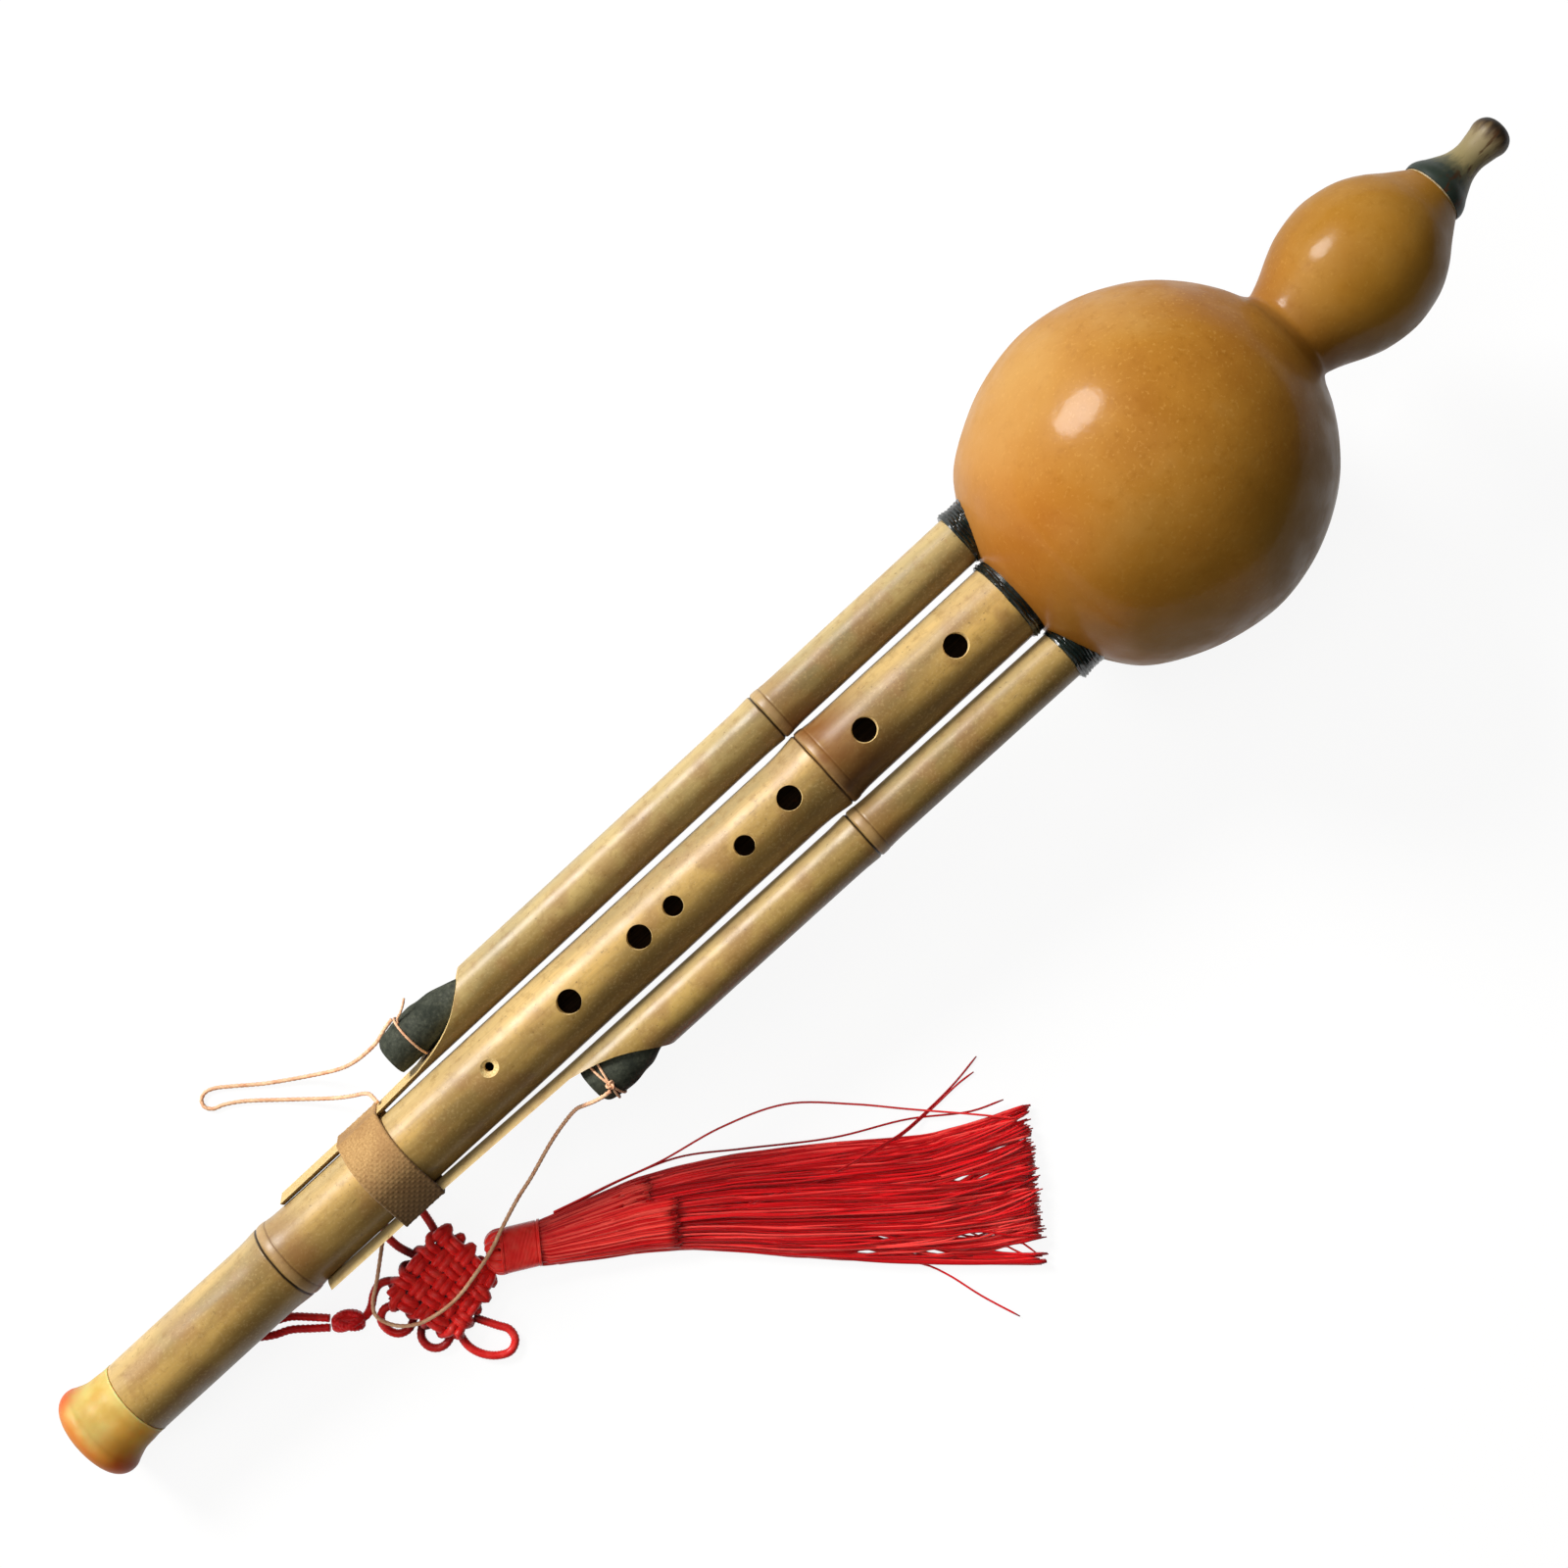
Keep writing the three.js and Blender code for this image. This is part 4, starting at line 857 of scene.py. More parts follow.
def amber_look():
    look = Look("amber_resin", 0.44, INSTRUMENT, Specular_IOR_Level=0.15, Coat_Weight=0.04,
                Coat_Roughness=0.2, Subsurface_Weight=0.5, Subsurface_Scale=0.004)
    swirl = look.noise(8, 3, 0.5)
    body = look.ramp(swirl, (0.34, (206, 168, 84)), (0.52, (216, 188, 108)),
                     (0.68, (214, 194, 114)))
    # Orange towards -Y: partly the resin's tone, partly painted light where light shines through
    # it.
    body = look.over(body, look.span(look.y, 2, -9, 0, 0.9), (255, 172, 58))
    flank = look.span(look.math("ABSOLUTE", look.math("ADD", look.y, -1)), 6.5, 10.5)
    bead = look.span(look.math("ADD", look.x, look.math("MULTIPLY", swirl, 4)), 11.5, 5)
    body = look.layered(body, [
        (look.both(flank, bead), (214, 78, 26)),
        (look.near(look.x, 1.5, 3.6, 0.8), (206, 112, 48)),
        (look.near(look.x, BELL_LENGTH, 0.8, 0.5), (240, 222, 150)),
    ])
    look.colour(body)
    look.bump(look.noise(6, 2), 0.15, 0.3)
    return look.material


def brass_look():
    look = Look("reed_brass", 0.3, INSTRUMENT, Metallic=1.0)
    look.colour(look.ramp(look.noise(2, 3), (0.3, (176, 138, 64)), (0.7, (214, 180, 100))))
    look.bump(look.grain(5, 0.16), 0.02, 0.4)
    return look.material


def stopper_look():
    look = Look("stopper", 0.8, INSTRUMENT, Specular_IOR_Level=0.25)
    grain = look.noise(1, 5, 0.7)
    dent = look.noise(4.5, 3)
    body = look.ramp(grain, (0.3, (40, 43, 34)), (0.55, (66, 69, 57)), (0.8, (100, 100, 84)))
    body = look.over(body, look.span(dent, 0.48, 0.66, 0, 0.5), (38, 43, 37))
    look.colour(body)
    look.rough(look.span(dent, 0.3, 0.7, 0.7, 0.9))
    look.bump(dent, 0.4, 0.5)
    look.bump(grain, 0.08, 0.7)
    return look.material


def tape_look():
    look = Look("woven_tape", 0.8, INSTRUMENT, Sheen_Weight=0.15, Sheen_Roughness=0.5)
    body = look.ramp(look.noise(0.5, 3, 0.7), (0.3, (158, 116, 62)), (0.7, (206, 164, 104)))
    body = look.layered(body, [
        (look.span(look.noise(9, 2), 0.4, 0.65, 0, 0.5), (150, 106, 58)),
        # Painted shade: darker towards -Y, away from the key lamp.
        (look.span(look.y, 6, -13, 0, 0.9), (78, 54, 27)),
    ])
    look.colour(body)
    look.bump(look.noise(0.3, 2), 0.05, 0.7)
    return look.material


def tether_look():
    look = Look("tether_cord", 0.6, Sheen_Weight=0.15, Sheen_Roughness=0.4)
    look.colour(look.ramp(look.noise(2, 3), (0.3, (226, 158, 116)), (0.7, (255, 208, 164))))
    look.bump(look.noise(0.2, 2), 0.04, 0.6)
    return look.material


def red_look(name, dark, middle, bright, roughness, of_threads=False, painted_knot_shade=False):
    """Red silk that varies along a cord or between threads, with painted shade deep in the knot."""
    look = Look(name, roughness, Specular_IOR_Level=0.45, Sheen_Weight=0.2, Sheen_Roughness=0.35)
    value = look.island() if of_threads else look.noise(2.4, 3)
    base = look.ramp(value, (0.2, dark), (0.5, middle), (0.85, bright))
    base = look.over(base, look.span(look.noise(7, 2), 0.5, 0.7, 0, 0.25), dark)
    if painted_knot_shade:
        # Painted shade: darker low down in the middle of the knot, between its cords.
        sides = [look.near(value, at, 17, 2) for value, at in zip((look.x, look.y), KNOT_AT)]
        inside = look.both(*sides)
        low = look.span(look.z, 1.8, KNOT_HEIGHT - 1, 1, 0)
        base = look.over(base, look.math("MINIMUM", look.both(inside, low), 0.9), (72, 2, 6))
    look.colour(base)
    look.bump(look.noise(0.3, 2), 0.04, 0.5)
    return look.material


LOOKS = {
    "gourd": gourd_look(),
    "main_pipe": bamboo_look("main_bamboo", INSTRUMENT, (FOOT_NODE_AT, MAIN_NODE_AT),
                             TOP_RADIUS, (184, 148, 80), (MAIN_NODE_AT + 2, MAIN_NODE_AT + 26)),
    "left_pipe": bamboo_look("left_bamboo", DRONE[1], (DRONES["left"]["node"] - COLLAR_AT,),
                             DRONE_RADIUS, (172, 146, 88)),
    "right_pipe": bamboo_look("right_bamboo", DRONE[-1], (DRONES["right"]["node"] - COLLAR_AT,),
                              DRONE_RADIUS, (174, 142, 76)),
    "cut": cut_bamboo_look(),
    "bore": bore_look(),
    "wax": wax_look(),
    "horn": horn_look(),
    "seal": seal_look(),
    "amber": amber_look(),
    "brass": brass_look(),
    "stopper": stopper_look(),
    "tape": tape_look(),
    "tether": tether_look(),
    "red_cord": red_look("red_cord", (206, 6, 12), (238, 22, 26), (252, 60, 52), 0.4),
    # The knot's cord: a brighter copy of the red cord, painted light against the pipes' shadow on
    # it, with painted shade deep inside.
    "knot_cord_painted_light_shade": red_look("knot_cord_painted_light_shade", (224, 18, 20), (246, 44, 40), (254, 84, 70), 0.32,
                          painted_knot_shade=True),
    "red_yarn": red_look("red_yarn", (190, 6, 14), (246, 22, 30), (255, 76, 70), 0.34, True),
    "bright_yarn": red_look("bright_yarn", (206, 6, 14), (248, 34, 34), (255, 84, 72), 0.34, True),
    "satin": red_look("red_satin", (246, 34, 32), (254, 56, 48), (255, 92, 76), 0.24),
    # Painted shade: a darker copy of the yarn for the inside of the bundle.
    "painted_shade_yarn": red_look("painted_shade_yarn", (146, 6, 12), (178, 10, 18), (200, 16, 24), 0.8),
}


# Camera, light and floor

CAMERA_AT = (228.02, 3.647, 603.25)
CAMERA_ROLL = math.radians(-42.466)
LENS = 58.0
SENSOR = 36.0
NEAREST_SEEN = 0.01
LAMP_DISTANCE = 2.0
# Lamps: direction, size in metres, power in watts and whether the glossy pieces mirror it
LAMPS = {
    "key": ((-0.2, 0.98, 0.62), 0.75, 46, True),
    "fill": ((-0.09, 0.3, 1), 1.6, 11, False),
    "end": ((-1, 0.12, 0.5), 1.0, 11, False),
}
SKY_COLOUR = (1, 0.99, 0.97, 1)
SKY_STRENGTH = 0.04
FLOOR_COLOUR = (100, 99, 98)
FLOOR_GLOW = 0.9
FLOOR_REACH = 3000


def make_camera():
    data = bpy.data.cameras.new("camera")
    data.lens = LENS
    data.sensor_width = SENSOR
    data.clip_start = NEAREST_SEEN
    camera = bpy.data.objects.new("camera", data)
    bpy.context.scene.collection.objects.link(camera)
    camera.matrix_world = INSTRUMENT @ shifted(*CAMERA_AT) @ turned_about_up(CAMERA_ROLL)
    bpy.context.scene.camera = camera


def make_lamp(name, direction, size, power, mirrored):
    data = bpy.data.lights.new(name, "AREA")
    data.shape = "DISK"
    data.size = size
    data.energy = power
    lamp = bpy.data.objects.new(name, data)
    bpy.context.scene.collection.objects.link(lamp)
    lamp.visible_glossy = mirrored
    towards = Vector(direction).normalized()
    lamp.location = towards * LAMP_DISTANCE
    lamp.rotation_euler = towards.to_track_quat("Z", "Y").to_euler()


def make_stage():
    """A floor that shows white and keeps the shadow, an even sky and three soft lamps."""
    look = Look("pale_floor", 0.9, Specular_IOR_Level=0.1)
    look.colour(rgb(*FLOOR_COLOUR))
    rays = look.tree.nodes.new("ShaderNodeLightPath").outputs
    seen = look.math("ADD", rays["Is Camera Ray"], rays["Is Glossy Ray"])
    seen = look.math("ADD", seen, rays["Is Transmission Ray"])
    look.shader.inputs["Emission Color"].default_value = (1, 1, 1, 1)
    look.put(look.shader.inputs["Emission Strength"], look.math("MULTIPLY", seen, FLOOR_GLOW))
    corners = [(-1, -1), (1, -1), (1, 1), (-1, 1)]
    floor = add("floor", [(x * FLOOR_REACH, y * FLOOR_REACH, 0) for x, y in corners],
                [(0, 1, 2, 3)], look.material)
    world = bpy.data.worlds.new("sky")
    world.use_nodes = True
    sky = world.node_tree.nodes["Background"]
    sky.inputs["Color"].default_value = SKY_COLOUR
    sky.inputs["Strength"].default_value = SKY_STRENGTH
    bpy.context.scene.world = world
    bpy.context.scene.view_settings.view_transform = "Standard"
    for name, facts in LAMPS.items():
        make_lamp(name, *facts)


# Cords


def make_strands(button):
    for name, route in STRAND_ROUTES.items():
        path = spline(route, CORD_STEP)
        cord = tubes(f"{name}_strand", [path], LOOKS["red_cord"], radius=STRAND_RADIUS,
                     sides=CORD_SIDES, lobes=3, lay=3.6, depth=0.2)
        finish(cord, "lanyard", "red_cord", f"lanyard_{name}_strand")


def make_tethers():
    for name, route in TETHER_ROUTES.items():
        path = spline(route, CORD_STEP)
        cord = tubes(f"{name}_tether_cord", [path], LOOKS["tether"], radius=TETHER_RADIUS,
                     sides=TETHER_SIDES, lobes=2, lay=2.6, depth=0.22)
        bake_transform(cord)
        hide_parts(f"{name}_tether")


# Gourd, mouthpiece and seal


def gourd_outline(margin):
    """The gourd's skin grown by a margin, from the pole that the pipes enter to its mouth."""
    key = [(-along * GOURD_FOOT, out * GOURD_RADIUS) for along, out in FOOT_SHARES]
    key += [(along * NECK_REACH, out * GOURD_RADIUS) for along, out in SHOULDER_SHARES]
    key += [(NECK_REACH + along * (CROWN_REACH - NECK_REACH),
             NECK_RADIUS + out * (CROWN_RADIUS - NECK_RADIUS)) for along, out in THROAT_SHARES]
    key += [(CROWN_REACH + along * (MOUTH_REACH - CROWN_REACH),
             MOUTH_RADIUS + out * (CROWN_RADIUS - MOUTH_RADIUS)) for along, out in CROWN_SHARES]
    fine = spline([(along, out * FACET_SHARE) for along, out in key], GOURD_STEP)
    slope = np.gradient(fine, axis=0)
    slope /= np.linalg.norm(slope, axis=1, keepdims=True)
    grown = fine + margin * np.column_stack([-slope[:, 1], slope[:, 0]])
    grown[:, 1] = np.maximum(grown[:, 1], 0)
    return grown


def tool(outline, sides, place, look="cut"):
    return turned_plug("tool", outline, sides, LOOKS[look], place)


def make_gourd():
    outer = gourd_outline(0)
    inner = gourd_outline(-GOURD_WALL)
    floor_at = MOUTH_REACH - SPIGOT_LENGTH
    inner = inner[(inner[:, 0] < floor_at) & (inner[:, 1] > POLE_CAP)]
    outer = outer[outer[:, 1] > POLE_CAP]
    lip = [(MOUTH_REACH, SPIGOT_RADIUS), (floor_at, SPIGOT_RADIUS)]
    outline = np.vstack([outer, lip, inner[::-1]])
    gourd = turned("gourd_shell", outline, GOURD_SIDES, LOOKS["gourd"], GOURD, uneven(*GOURD_LUMPS))
    pole = BELL_TO_GOURD - GOURD_FOOT
    entries = [(INSTRUMENT, pole, TOP_RADIUS)]
    entries += [(place, pole - COLLAR_AT, DRONE_RADIUS) for place in DRONE.values()]
    tools = [tool([(at + reach, radius + SEAT_GAP) for reach in ENTRY_REACH], ENTRY_SIDES, place)
             for place, at, radius in entries]
    finish(cut(gourd, *tools), "instrument", "gourd", "gourd")


def make_mouthpiece():
    """The horn's skirt hangs over its seal and hides most of it."""
    base = MOUTH_REACH + SEAL_THICKNESS + 2 * SEAT_GAP
    flare = [(base + along * MOUTHPIECE_LENGTH,
              MOUTHPIECE_WAIST + out * (MOUTHPIECE_BASE - MOUTHPIECE_WAIST))
             for along, out in FLARE_SHARES]
    beak = [(base + along * MOUTHPIECE_LENGTH,
             MOUTHPIECE_WAIST + out * (MOUTHPIECE_TIP - MOUTHPIECE_WAIST))
            for along, out in BEAK_SHARES]
    outside = spline([(base - SKIRT_OVERHANG, MOUTHPIECE_BASE - 2 * HAIR)] + flare + beak, 0.35)
    bore = [(base + MOUTHPIECE_LENGTH, MOUTHPIECE_BORE), (base - SOCKET_LENGTH, MOUTHPIECE_BORE),
            (base - SOCKET_LENGTH, SOCKET_RADIUS), (base, SOCKET_RADIUS),
            (base, SEAL_RADIUS + HAIR), (base - SKIRT_OVERHANG, SEAL_RADIUS + 2 * HAIR)]
    horn = turned("mouthpiece_horn", np.vstack([outside, bore]), SMALL_SIDES, LOOKS["horn"], GOURD)
    horn.data.set_sharp_from_angle(angle=WIDE_CREASE)
    finish(horn, "instrument", "horn", "mouthpiece")
    start, end = MOUTH_REACH + SEAT_GAP / 2, base - 0.02
    edge = SEAL_ROUND / 3
    ring = [(start, SPIGOT_RADIUS), (start, SEAL_RADIUS - SEAL_ROUND),
            (start + edge, SEAL_RADIUS - edge), (start + SEAL_ROUND, SEAL_RADIUS),
            (end, SEAL_RADIUS), (end, SPIGOT_RADIUS)]
    seal = turned("seal_ring", ring, SMALL_SIDES, LOOKS["seal"], GOURD)
    finish(seal, "instrument", "seal", "mouthpiece_seal")


# Main pipe and bell ring


def bamboo_wall(start, end, radii, nodes, swell):
    """Outside of a bamboo stretch: radii between nodes, each with its groove, swelling and scar."""
    places = set(np.arange(start, end, WALL_STEP).round(2)) | {start, end}
    for at in nodes:
        places |= set((at + np.arange(-NODE_REACH, NODE_REACH, NODE_STEP)).round(2))
    outline = []
    for along in sorted(p for p in places if start <= p <= end):
        radius = np.interp(along, [place for place, _ in radii], [size for _, size in radii])
        for at in nodes:
            for height, place, width in NODE_RINGS:
                radius += height * swell * math.exp(-((along - at - place) / width) ** 2)
            for depth, place, width in NODE_LINES:
                radius -= depth * math.exp(-((along - at - place) / width) ** 2)
        outline.append((along, radius))
    return outline


def reed_seat(end, reed, place):
    """Tools for the flat under a reed plate, near a pipe's inner end, and for its window."""
    middle = end - reed["inset"] - reed["length"] / 2
    tools = []
    for length, width, low in ((reed["length"] + 2 * REED_PLAY, 4 * TOP_RADIUS, reed["flat"]),
                               (reed["slot"] + REED_PLAY, reed["base"], WINDOW_FLOOR)):
        outline = [(middle + x * length / 2, y * width / 2)
                   for x, y in ((-1, -1), (1, -1), (1, 1), (-1, 1))]
        tools.append(slab("seat", outline, low, 2 * TOP_RADIUS, LOOKS["cut"], place))
    return tools


def make_pipe():
    shoulder = BELL_LENGTH + HAIR
    radii = [(FOOT_NODE_AT, FOOT_RADIUS), (FOOT_NODE_AT + NODE_BLEND, MIDDLE_RADIUS),
             (MAIN_NODE_AT - NODE_BLEND, MIDDLE_RADIUS), (MAIN_NODE_AT, TOP_RADIUS)]
    wall = bamboo_wall(shoulder, PIPE_INNER_END, radii, (FOOT_NODE_AT, MAIN_NODE_AT), PIPE_SWELL)
    end = shoulder - TENON_LENGTH
    outside = [(end, TENON_RADIUS), (shoulder, TENON_RADIUS), (shoulder, FOOT_RADIUS - FOOT_EDGE),
               (shoulder + FOOT_EDGE, FOOT_RADIUS)] + wall[1:]
    inside = straight([(PIPE_INNER_END, BORE_RADIUS), (end, BORE_RADIUS)], BORE_STEP)
    pipe = turned("main_bamboo_pipe", np.vstack([outside, inside]), PIPE_SIDES, LOOKS["main_pipe"],
                  INSTRUMENT, uneven(*PIPE_LUMPS), bore_from=len(outside))
    upright = Matrix.Rotation(-math.pi / 2, 4, "Y")
    upside_down = Matrix.Rotation(math.pi / 2, 4, "Y")
    high = TOP_RADIUS + HOLE_OVERRUN

    def hole(along, aside, turn, radius, sides=HOLE_SIDES, rim_from=high, slope=0.0):
        """A tool for a hole in the wall, which widens by a slope from a depth out."""
        profile = [(HOLE_START, radius), (rim_from, radius)]
        if rim_from < high:
            profile.append((high, radius + slope * (high - rim_from)))
        return tool(profile, sides, INSTRUMENT @ shifted(along, aside) @ turn)

    tools = [hole(at, aside, upright, radius, rim_from=MIDDLE_RADIUS - WEAR_DEPTH, slope=WEAR_SLOPE)
             for at, aside, radius in HOLES]
    tools.append(hole(*VENT_AT, upright, VENT_RADIUS, rim_from=MIDDLE_RADIUS - VENT_DEPTH,
                      slope=(VENT_RIM - VENT_RADIUS) / VENT_DEPTH))
    tools.append(hole(THUMB_HOLE_AT, 0, upside_down, HOLE_RADIUS))
    for half in (0.5, -0.5):
        tools.append(hole(LANYARD_HOLE_AT + half * LANYARD_HOLE_SPACING, 0, upside_down,
                          LANYARD_HOLE_RADIUS, LANYARD_HOLE_SIDES))
    tools += reed_seat(PIPE_INNER_END, MAIN_REED, INSTRUMENT)
    finish(cut(pipe, *tools), "instrument", "bamboo", "main_pipe")


def make_bell():
    bead = []
    for turn in np.linspace(BEAD_START * math.pi, math.pi, BEAD_STEPS):
        bead.append((BEAD_RADIUS * (1 + math.cos(turn)),
                     BELL_RIM - BEAD_RADIUS * (1 - math.sin(turn))))
    flare = [(along, FOOT_RADIUS + out) for along, out in BELL_FLARE]
    flare = spline([(BELL_LENGTH, FOOT_RADIUS)] + flare + [bead[0]], 0.5)[:-1]
    socket = BELL_LENGTH - TENON_LENGTH
    inside = spline([(BELL_EDGE, BELL_BORE + 0.2), (1, BELL_BORE - 2 * BELL_EDGE),
                     (socket - 1.7, BORE_RADIUS)], 0.5)
    rest = [(socket, BORE_RADIUS), (socket, TENON_RADIUS + SEAT_GAP / 2),
            (BELL_LENGTH, TENON_RADIUS + SEAT_GAP / 2)]
    outline = np.vstack([flare, bead, inside, rest])
    outline[:, 1] *= FACET_SHARE
    ring = turned("bell_amber_ring", outline, PIPE_SIDES, LOOKS["amber"], INSTRUMENT)
    ring.data.set_sharp_from_angle(angle=WIDE_CREASE)
    finish(ring, "instrument", "amber", "bell_ring")


# Drones, stoppers and ties


def drone_body(name, drone, margin, sides, look):
    """A drone's tube with its scoop cut away and the splint left; a margin grows the wood."""
    side = drone["side"]
    place = DRONE[side]
    start = drone["splint"] - COLLAR_AT - margin
    outer = DRONE_RADIUS + margin
    inner = DRONE_BORE - margin
    wall = bamboo_wall(start, DRONE_INNER_END, [(start, outer)], (drone["node"] - COLLAR_AT,),
                       DRONE_SWELL)
    bore = straight([(DRONE_INNER_END, inner), (start, inner)], BORE_STEP)
    at = drone["cut"] - COLLAR_AT
    bend = ([BINDING_AT - COLLAR_AT, at - CUT_LENGTH], [SPLINT_BEND, 0])

    def bent(points):
        points[:, :, 1] -= side * np.interp(points[:, :, 0], *bend)
        return points

    body = turned(name, np.vstack([wall, bore]), sides, LOOKS[look], place, bent,
                  bore_from=len(wall))
    edge = [(at - along * CUT_LENGTH, out * DRONE_RADIUS + margin) for along, out in CUT_SHARES]
    edge = spline(edge + [(at - CUT_LENGTH, margin - SPLINT_FACE)], 0.8).tolist()
    high, far = outer + SCOOP_OVERRUN, start - SCOOP_OVERRUN
    face = margin - SPLINT_FACE - SPLINT_BEND
    outline = [(at + CUT_SHARES[1][0] * CUT_LENGTH, high)] + edge
    outline += [(bend[0][0], face), (far, face), (far, high)]
    outline = [(x, side * y) for x, y in outline]
    scoop = slab("scoop", outline, -3 * DRONE_RADIUS, 3 * DRONE_RADIUS, LOOKS["cut"],
                 place @ Matrix.Rotation(SCOOP_ROLL[side], 4, "X"))
    return cut(body, scoop)


def stopper_profile(length):
    nose = [((1 - along) * STOPPER_ENGAGED, out * STOPPER_RADIUS) for along, out in NOSE_SHARES]
    bulb = [(-along * length, out * STOPPER_RADIUS) for along, out in BULB_SHARES]
    return spline(nose + bulb, 0.6)


def make_drone(name, drone):
    body = drone_body(f"{name}_drone_bamboo", drone, 0, DRONE_SIDES, f"{name}_pipe")
    cut(body, *reed_seat(DRONE_INNER_END, DRONE_REED, DRONE[drone["side"]]))
    finish(body, "instrument", "bamboo", f"{name}_drone_pipe")


def make_stopper(name, drone):
    """A plug with a straight inner side and a bulging outer side, dented and worn at its end."""
    profile = stopper_profile(drone["stopper"])
    outline = np.vstack([profile[0] + STOPPER_NOSE, profile[1:], profile[-1] + STOPPER_TAIL])
    widest = np.interp(-outline[:, 0], -profile[:, 0], profile[:, 1])
    shift = drone["side"] * (widest - STOPPER_FLAT)
    outline[:, 0] += drone["cut"] - COLLAR_AT
    plug = turned_plug(f"{name}_stopper_plug", outline, SMALL_SIDES, LOOKS["stopper"],
                       DRONE[drone["side"]], shift, uneven(*STOPPER_DENTS))
    cut(plug, drone_body("wood", drone, STOPPER_PLAY, ENTRY_SIDES, f"{name}_pipe"))
    finish(plug, f"{name}_stopper", "stopper", f"{name}_stopper")


def overhand(at, size):
    """The closed path of a small overhand knot."""
    turn = np.linspace(0, FULL_TURN, 60)
    path = np.column_stack([np.sin(turn) + 2 * np.sin(2 * turn),
                            np.cos(turn) - 2 * np.cos(2 * turn), -1.2 * np.sin(3 * turn)])
    return path * size / 3 + np.asarray(at)


def make_tie(name, drone):
    """The tether's end round its stopper: a loop with a free tail, or two crossed in a knot."""
    profile = stopper_profile(drone["stopper"])
    place = -drone["tie"] * drone["stopper"]
    around = np.interp(-place, -profile[:, 0], profile[:, 1])
    at = drone["cut"] - COLLAR_AT + place
    aside = drone["side"] * (around - STOPPER_FLAT)
    turn = np.linspace(0, FULL_TURN, TIE_STEPS)
    reach = around + TIE_STAND
    paths = [np.column_stack([at + lean * np.sin(turn - TIE_CROSSING), aside + reach * np.cos(turn),
                              reach * np.sin(turn)]) for lean in TIE_LEANS[name]]
    if name == "left":
        paths.append(spline(LEFT_TAIL, CORD_STEP))
    else:
        spot = (aside + reach * math.cos(TIE_CROSSING), reach * math.sin(TIE_CROSSING))
        paths.append(overhand((at, *spot), TIE_KNOT))
    tie = tubes(f"{name}_tie_cord", paths, LOOKS["tether"], DRONE[drone["side"]], radius=TIE_RADIUS,
                sides=TIE_SIDES, lobes=2, lay=2.2, depth=0.2)
    finish(tie, f"{name}_stopper", "tether_cord", f"{name}_stopper_tie")


# Binding band


def band_outline(margin):
    """Outline round the pipe and both splints, in the plane across them."""
    around = MIDDLE_RADIUS + margin
    half = math.acos(SPLINT_FACE / DRONE_RADIUS)
    corners = []
    for side in (1, -1):
        for up in (-side, side):
            angle = up * half - side * SCOOP_ROLL[side]
            out = BINDING_SPACING - SPLINT_BEND - DRONE_RADIUS * math.cos(angle) + margin
            corners.append((side * out, DRONE_RADIUS * math.sin(angle) + up * margin / 2))
    points = []
    for first in (0, 2):
        points += corners[first:first + 2]
        ends = [math.atan2(abs(z), abs(y)) + math.acos(around / math.hypot(y, z))
                for y, z in (corners[first + 1], corners[(first + 2) % 4])]
        turn = first / 2 * math.pi
        for angle in np.linspace(turn + ends[0], turn + math.pi - ends[1], ARC_STEPS):
            points.append((around * math.cos(angle), around * math.sin(angle)))
    return points


def make_band():
    """Plain-woven tape: the threads rise and dip by turns, and the hems are thicker."""
    loop = np.array(band_outline(SEAT_GAP + BAND_THICKNESS / 2))
    loop = np.vstack([loop, loop[:1]])
    run = run_along(loop)
    columns = 2 * round(run[-1] / WEAVE_CELL / 2) * WEAVE_STEPS
    even = np.linspace(0, run[-1], columns, endpoint=False)
    centre = np.column_stack([np.interp(even, run, loop[:, i]) for i in (0, 1)])
    slope = np.roll(centre, -WEAVE_STEPS, 0) - np.roll(centre, WEAVE_STEPS, 0)
    slope /= np.linalg.norm(slope, axis=1, keepdims=True)
    normal = np.column_stack([slope[:, 1], -slope[:, 0]])
    cells = round(BAND_WIDTH / WEAVE_CELL)
    points = []
    for i in range(cells * WEAVE_STEPS + 1):
        row, a = divmod(i, WEAVE_STEPS)
        across = (i / (cells * WEAVE_STEPS) - 0.5) * BAND_WIDTH
        hem = HEM_HEIGHT if row in (0, cells - 1) else 0
        for j in range(columns):
            column, b = divmod(j, WEAVE_STEPS)
            thread = math.sin(math.pi * a / WEAVE_STEPS) * math.sin(math.pi * b / WEAVE_STEPS)
            over = 1 if (row + column) % 2 else UNDER_SHARE
            lift = BAND_THICKNESS / 2 - BAND_SKIN + hem + WEAVE_HEIGHT * over * thread
            if i in (0, cells * WEAVE_STEPS):
                lift = 0
            points.append((BINDING_AT + across, *(centre[j] + normal[j] * lift)))
    for across in (0.5, -0.5):
        points += [(BINDING_AT + across * BAND_WIDTH, *(c - n * BAND_THICKNESS / 2))
                   for c, n in zip(centre, normal)]
    faces = grid_faces(cells * WEAVE_STEPS + 3, columns, close_rows=True)
    band = add("woven_band", points, faces, LOOKS["tape"], INSTRUMENT)
    finish(band, "instrument", "woven_tape", "binding_band")


# Wax collars


